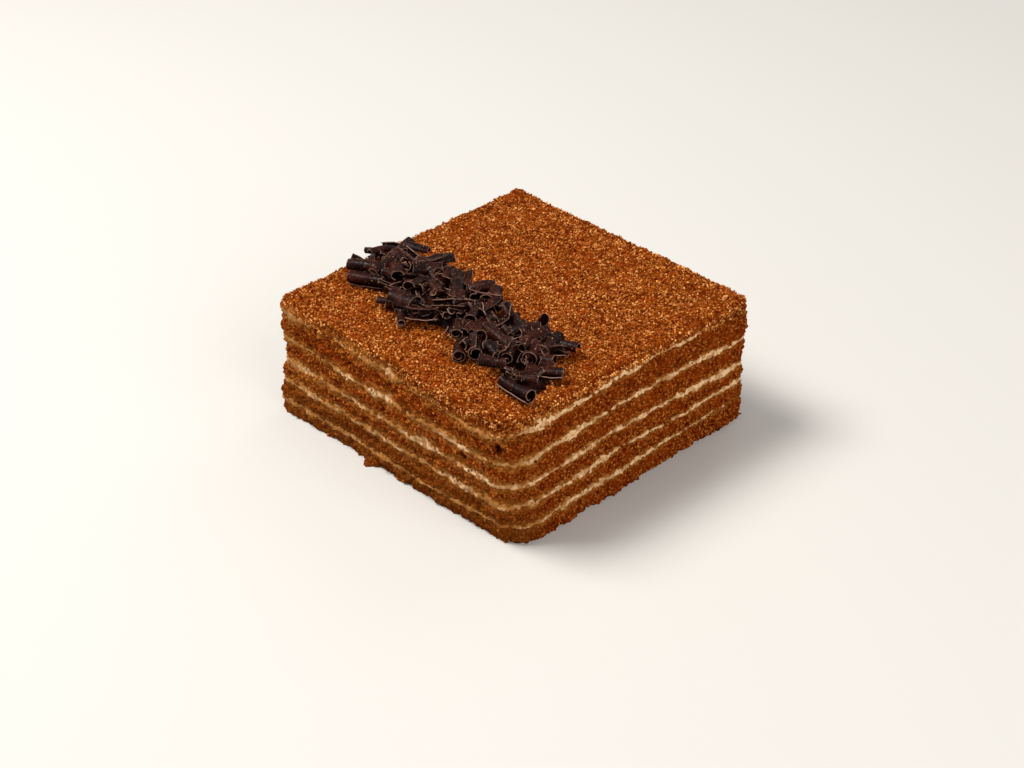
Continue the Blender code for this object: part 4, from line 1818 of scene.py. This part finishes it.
    def build(self, effects: EffectLibrary) -> None:
        """Build the heap and dress it.

        Args:
            effects: The shared shader groups.
        """
        material = self.finish.material(effects)
        draw = random.Random(self.seed)
        core = self._core()
        finish_piece("chocolate_core", core, material, ("chocolate_curls",))
        shown = self._heap_of(list(SHOWN_CURLS), draw, self.around, self.along)
        finish_piece("shown_curls", shown, material)
        fillers = self._heap_of(self.shape.draw_fillers(), draw, self.around, self.along)
        finish_piece("filler_curls", fillers, material)
        chips = self._heap_of(self._draw_chips(draw), draw, self.chip_around, self.chip_along)
        finish_piece("chocolate_chips", chips, material)


@dataclass
class LooseCrumbs:
    """Loose crumbs: angular grains on the top, the cut faces and the chocolate."""

    shape: SlabShape
    levels: CreamLevels
    coat: CrumbCoat
    heap: HeapShape
    top_finish: LooseCrumbFinish
    side_finish: LooseCrumbFinish
    fallen_finish: LooseCrumbFinish
    seed: int = 21
    moulds: int = 14
    uneven: Span = (0.62, 1.25)
    squash: Span = (0.70, 1.25)
    tone_shape: Span = (1.1, 1.3)
    top_fine: int = 10950
    top_medium: int = 10950
    top_coarse: int = 2200
    fine_size: Span = (0.00014, 0.00026)
    medium_size: Span = (0.00022, 0.00035)
    coarse_size: Span = (0.00033, 0.00048)
    top_lift: Span = (0.0, 0.6)
    on_sides: int = 17400
    side_size: Span = (0.00015, 0.00035)
    side_lift: Span = (-0.5, 0.45)
    side_foot: float = 0.0004
    side_below: float = 0.0008
    rim_below: float = 0.0006
    off_floor: float = 0.9
    rim_share: float = 0.40
    rim_foot: float = 0.0335
    # Painted light: how far the tones of the crumbs on the coat's upper edge are raised, against the shade
    # there.
    rim_painted_light: float = 0.34
    foot_light: float = 0.30
    foot_height: float = 0.0050
    on_chocolate: int = 640
    fallen_size: Span = (0.00009, 0.00021)
    fallen_tones: Span = (2.0, 2.0)
    drop_height: float = 0.06
    clear: float = 0.0035
    clear_far: float = 0.0062
    bare: float = 0.0003
    on_cream: float = 0.14
    on_smeared: float = 0.40
    clump_size: float = 0.0032
    clump_share: float = 0.26
    drift_size: float = 0.0130
    drift_share: float = 0.06

    def _moulds(self, draw: Generator) -> Pair:
        """Make a few uneven grains of unit size.

        Args:
            draw: Draws their unevenness.

        Returns:
            The grains' vertices, one array each, and the faces that they share.
        """
        bm = bmesh.new()
        bmesh.ops.create_icosphere(bm, subdivisions=1, radius=1.0)
        ball = np.array([vert.co[:] for vert in bm.verts])
        faces = np.array([[vert.index for vert in face.verts] for face in bm.faces])
        bm.free()
        uneven = draw.uniform(*self.uneven, (self.moulds, len(ball), 1))
        squash = draw.uniform(*self.squash, (self.moulds, 1, 3))
        return ball[None] * uneven * squash, faces

    def _scatter(
        self, name: str, places: Array, sizes: Array, tones: Array,
        draw: Generator, material: Material,
    ) -> None:
        """Lay grains at places and join them in one piece.

        Args:
            name: The piece's name.
            places: The grains' middles.
            sizes: Their radii.
            tones: Their tones, 0 dark to 1 light.
            draw: Draws their turns.
            material: Their material.
        """
        moulds, faces = self._moulds(draw)
        count = len(places)
        spins = [Quaternion(spin).normalized().to_matrix()[:] for spin in draw.normal(size=(count, 4))]
        chosen = moulds[draw.integers(0, self.moulds, count)]
        turned = np.einsum("nij,nvj->nvi", np.array(spins), chosen)
        grains = places[:, None] + turned * sizes[:, None, None]
        corners = moulds.shape[1]
        index = (faces[None] + (np.arange(count) * corners)[:, None, None]).reshape(-1)
        mesh = bpy.data.meshes.new(name)
        mesh.vertices.add(count * corners)
        mesh.vertices.foreach_set("co", grains.astype(np.float32).ravel())
        mesh.loops.add(len(index))
        mesh.loops.foreach_set("vertex_index", index.astype(np.int32))
        mesh.polygons.add(len(index) // 3)
        mesh.polygons.foreach_set("loop_start", np.arange(0, len(index), 3, dtype=np.int32))
        mesh.update(calc_edges=True)
        mesh.validate()
        mesh.shade_flat()
        write_value(mesh, "tone", np.repeat(tones, corners))
        finish_piece(name, mesh, material)

    def _tones(self, places: Array, draw: Generator) -> Array:
        """Draw the grains' tones, which gather in darker and more golden clumps.

        Args:
            places: The grains' places.
            draw: Draws each grain's own tone.

        Returns:
            One tone for each grain, 0 dark to 1 light.
        """
        own = draw.beta(*self.tone_shape, len(places))
        clumps = self.clump_share * noise_at(places, self.clump_size, Rough.CLUMP)
        drift = self.drift_share * noise_at(places, self.drift_size, Rough.DRIFT)
        return np.clip(own + clumps + drift, 0.0, 1.0)

    def _on_top(self, count: int, size: Span, draw: Generator) -> Pair:
        """Draw grains that lie on the coat's top, clear of the middle of the heap.

        Args:
            count: How many to draw.
            size: Their smallest and largest radius.
            draw: Draws them.

        Returns:
            Their places and radii.
        """
        a = draw.uniform(-1.0, 1.0, count)
        b = draw.uniform(-1.0, 1.0, count)
        places = self.coat.surface(a, b)
        radii = draw.uniform(*size, count)
        places[:, 2] += radii * draw.uniform(*self.top_lift, count)
        near, far = np.array([self.heap.edges(x) for x in places[:, 0]]).T
        covered = (places[:, 1] > near + self.clear) & (places[:, 1] < far - self.clear_far)
        covered &= (places[:, 0] > self.heap.start) & (places[:, 0] < self.heap.end)
        return places[~covered], radii[~covered]

    def _on_faces(self, count: int, size: Span, draw: Generator) -> tuple[Array, Array, Array]:
        """Draw grains that lie on the cut faces, few of them on the creams.

        Args:
            count: How many to draw.
            size: Their smallest and largest radius.
            draw: Draws them.

        Returns:
            Their places, their radii and whether each lies on the coat, above the last cream.
        """
        at = draw.uniform(0.0, SIDES_ROUND, count)
        high = draw.random(count) < self.rim_share
        on_rim = draw.uniform(self.rim_foot, self.coat.top - self.rim_below, count)
        anywhere = draw.uniform(self.side_foot, self.coat.top - self.side_below, count)
        z = np.where(high, on_rim, anywhere)
        radii = draw.uniform(*size, count)
        keep = np.ones(count, bool)
        for layer in range(self.levels.count()):
            half = self.levels.showing(layer, at)
            near = (np.abs(z - self.levels.middle(layer, at)) < half) & (half > self.bare)
            share = self.on_cream + self.on_smeared * self.levels.smeared(at)
            keep &= ~near | (draw.random(count) < share)
        places = self.shape.crumbly(at, z, radii * draw.uniform(*self.side_lift, count))
        places[:, 2] = np.maximum(places[:, 2], radii * self.off_floor)
        rim = z > self.levels.middle(self.levels.count() - 1, at)
        return places[keep], radii[keep], rim[keep]

    def build(self, chocolate: ChocolateHeap) -> None:
        """Lay every kind of loose crumb.

        Args:
            chocolate: The heap, on which a few crumbs fall.
        """
        draw = np.random.default_rng(self.seed)
        top = self.top_finish.material()
        side = self.side_finish.material()
        kinds = {
            "fine_crumbs": (self.top_fine, self.fine_size),
            "medium_crumbs": (self.top_medium, self.medium_size),
            "coarse_crumbs": (self.top_coarse, self.coarse_size),
        }
        for name, (count, size) in kinds.items():
            places, radii = self._on_top(count, size, draw)
            self._scatter(name, places, radii, self._tones(places, draw), draw, top)
        edge, radii, rim = self._on_faces(self.on_sides, self.side_size, draw)
        low = np.clip(1.0 - edge[:, 2] / self.foot_height, 0.0, 1.0)
        tones = self._tones(edge, draw) + self.foot_light * low
        self._scatter("side_crumbs", edge[~rim], radii[~rim], tones[~rim], draw, side)
        # Painted light: the rim crumbs are made lighter, against the shade along the coat's upper edge.
        tones += self.rim_painted_light
        self._scatter("rim_crumbs", edge[rim], radii[rim], tones[rim], draw, top)
        fallen = self._on_heap(self.on_chocolate, chocolate, draw)
        radii = draw.uniform(*self.fallen_size, len(fallen))
        tones = draw.beta(*self.fallen_tones, len(fallen))
        dusty = self.fallen_finish.material()
        self._scatter("fallen_crumbs", fallen, radii, tones, draw, dusty)

    def _on_heap(self, count: int, chocolate: ChocolateHeap, draw: Generator) -> Array:
        """Find where crumbs come to rest on the curls.

        Args:
            count: How many to drop.
            chocolate: The heap.
            draw: Draws where they fall.

        Returns:
            Their places.
        """
        places = []
        down = Vector((0.0, 0.0, -1.0))
        for _ in range(count):
            x = draw.uniform(self.heap.start, self.heap.end)
            off = self.heap.half_width * draw.uniform(-1.0, 1.0)
            above = Vector((x, self.heap.line_y + self.heap.line_slope * x + off, self.drop_height))
            hits = [tree.ray_cast(above, down)[0] for tree in chocolate.surfaces]
            hits = [hit for hit in hits if hit is not None]
            if hits:
                places.append(max(hits, key=lambda hit: hit.z)[:])
        return np.array(places)


@dataclass(frozen=True)
class Lamp:
    """A square soft light that looks at the cake, with its power in watts."""

    name: str
    place: Place
    size: float
    power: float
    colour: Colour


def look_from(place: Place, target: Place) -> Matrix:
    """Give the matrix of something that stands at a place and looks at a target."""
    aim = Vector(target) - Vector(place)
    return Matrix.Translation(place) @ aim.to_track_quat("-Z", "Y").to_matrix().to_4x4()


@dataclass(frozen=True)
class Studio:
    """The plain pale floor, the soft lights and the camera at the photo's angle."""

    camera_place: Place = (0.3195, -0.3183, 0.2980)
    camera_target: Place = (-0.0105, 0.0111, 0.0)
    camera_roll: float = 0.408
    lens: float = 66.8
    sensor: float = 36.0
    clip_start: float = 0.01
    lamps: tuple[Lamp, ...] = (
        Lamp("key_light", (-0.42, -0.34, 0.86), 0.45, 14.1, (1.0, 0.97, 0.92)),
        Lamp("fill_light", (0.75, -0.10, 0.45), 0.70, 4.5, (1.0, 0.96, 0.92)),
        Lamp("back_light", (-0.10, 0.80, 0.60), 0.60, 1.5, (1.0, 0.97, 0.94)),
    )
    lamp_target: Place = (0.0, 0.0, 0.02)
    floor_size: float = 3.0
    floor_colour: Colour = (0.56, 0.55, 0.53)
    floor_roughness: float = 0.9
    floor_specular: float = 0.1
    sky: Colour = (1.0, 0.98, 0.95)
    sky_strength: float = 0.33

    def _camera(self) -> None:
        """Set up the camera."""
        data = bpy.data.cameras.new("camera")
        data.lens = self.lens
        data.sensor_width = self.sensor
        data.clip_start = self.clip_start
        camera = bpy.data.objects.new("camera", data)
        roll = Matrix.Rotation(math.radians(self.camera_roll), 4, "Z")
        camera.matrix_world = look_from(self.camera_place, self.camera_target) @ roll
        bpy.context.scene.collection.objects.link(camera)
        bpy.context.scene.camera = camera

    def _lamp(self, lamp: Lamp) -> None:
        """Hang one light."""
        data = bpy.data.lights.new(lamp.name, "AREA")
        data.size = lamp.size
        data.energy = lamp.power
        data.color = lamp.colour
        light = bpy.data.objects.new(lamp.name, data)
        light.matrix_world = look_from(lamp.place, self.lamp_target)
        bpy.context.scene.collection.objects.link(light)

    def _floor(self) -> None:
        """Lay the floor."""
        bm = bmesh.new()
        bmesh.ops.create_grid(bm, x_segments=1, y_segments=1, size=self.floor_size / 2.0)
        mesh = mesh_of(bm, "floor")
        board, material = start_material("floor")
        set_surface(board, self.floor_colour, self.floor_roughness, self.floor_specular)
        mesh.materials.append(material)
        floor = bpy.data.objects.new("floor", mesh)
        bpy.context.scene.collection.objects.link(floor)

    def build(self) -> None:
        """Set up the whole studio."""
        self._camera()
        self._floor()
        for lamp in self.lamps:
            self._lamp(lamp)
        world = bpy.data.worlds.new("studio")
        world.use_nodes = True
        background = world.node_tree.nodes["Background"]
        background.inputs["Color"].default_value = (*self.sky, 1.0)
        background.inputs["Strength"].default_value = self.sky_strength
        bpy.context.scene.world = world
        bpy.context.scene.view_settings.view_transform = "Standard"


def main() -> None:
    """Build the finished cake in its studio."""
    logging.basicConfig(level=logging.INFO, format="%(name)s: %(message)s")
    Studio().build()
    effects = EffectLibrary()
    shape = SlabShape()
    levels = CreamLevels()
    baked = CrumbFinish(
        "baked_layer", dark=(0.074, 0.0045, 0.0001), mid=(0.235, 0.043, 0.0018),
        light=(0.48, 0.155, 0.026), stain=(0.36, 0.132, 0.022), grain=0.00058, clump=0.0019,
        patch=0.0070, soaks=0.52, roughness=0.85, relief=0.00032,
    )
    coat_finish = CrumbFinish(
        "crumb_coat", dark=(0.065, 0.0044, 0.0003), mid=(0.23, 0.045, 0.0024),
        light=(0.50, 0.170, 0.032), stain=(0.40, 0.140, 0.022), grain=0.00060, clump=0.0022,
        patch=0.0120, soaks=0.42, roughness=0.90, relief=0.00032,
    )
    edge = CutEdge(shape, levels)
    BakedLayers(shape, levels, edge, baked).build(effects)
    CreamLayers(shape, levels, CreamFinish()).build(effects)
    coat = CrumbCoat(shape, levels, edge, coat_finish)
    coat.build(effects)
    heap = HeapShape()
    chocolate = ChocolateHeap(heap, ChocolateFinish())
    chocolate.build(effects)
    top_grains = LooseCrumbFinish(
        "loose_crumbs", dark=(0.085, 0.007, 0.0005), mid=(0.32, 0.078, 0.0078),
        light=(0.83, 0.385, 0.115), red_share=0.10,
    )
    side_grains = LooseCrumbFinish(
        "side_crumbs", dark=(0.076, 0.005, 0.0001), mid=(0.245, 0.046, 0.0024),
        light=(0.57, 0.205, 0.038), red_share=0.50,
    )
    fallen = LooseCrumbFinish(
        "fallen_crumbs", dark=(0.09, 0.024, 0.009), mid=(0.22, 0.080, 0.032),
        light=(0.50, 0.280, 0.150),
    )
    LooseCrumbs(shape, levels, coat, heap, top_grains, side_grains, fallen).build(chocolate)


if __name__ == "__main__":
    main()
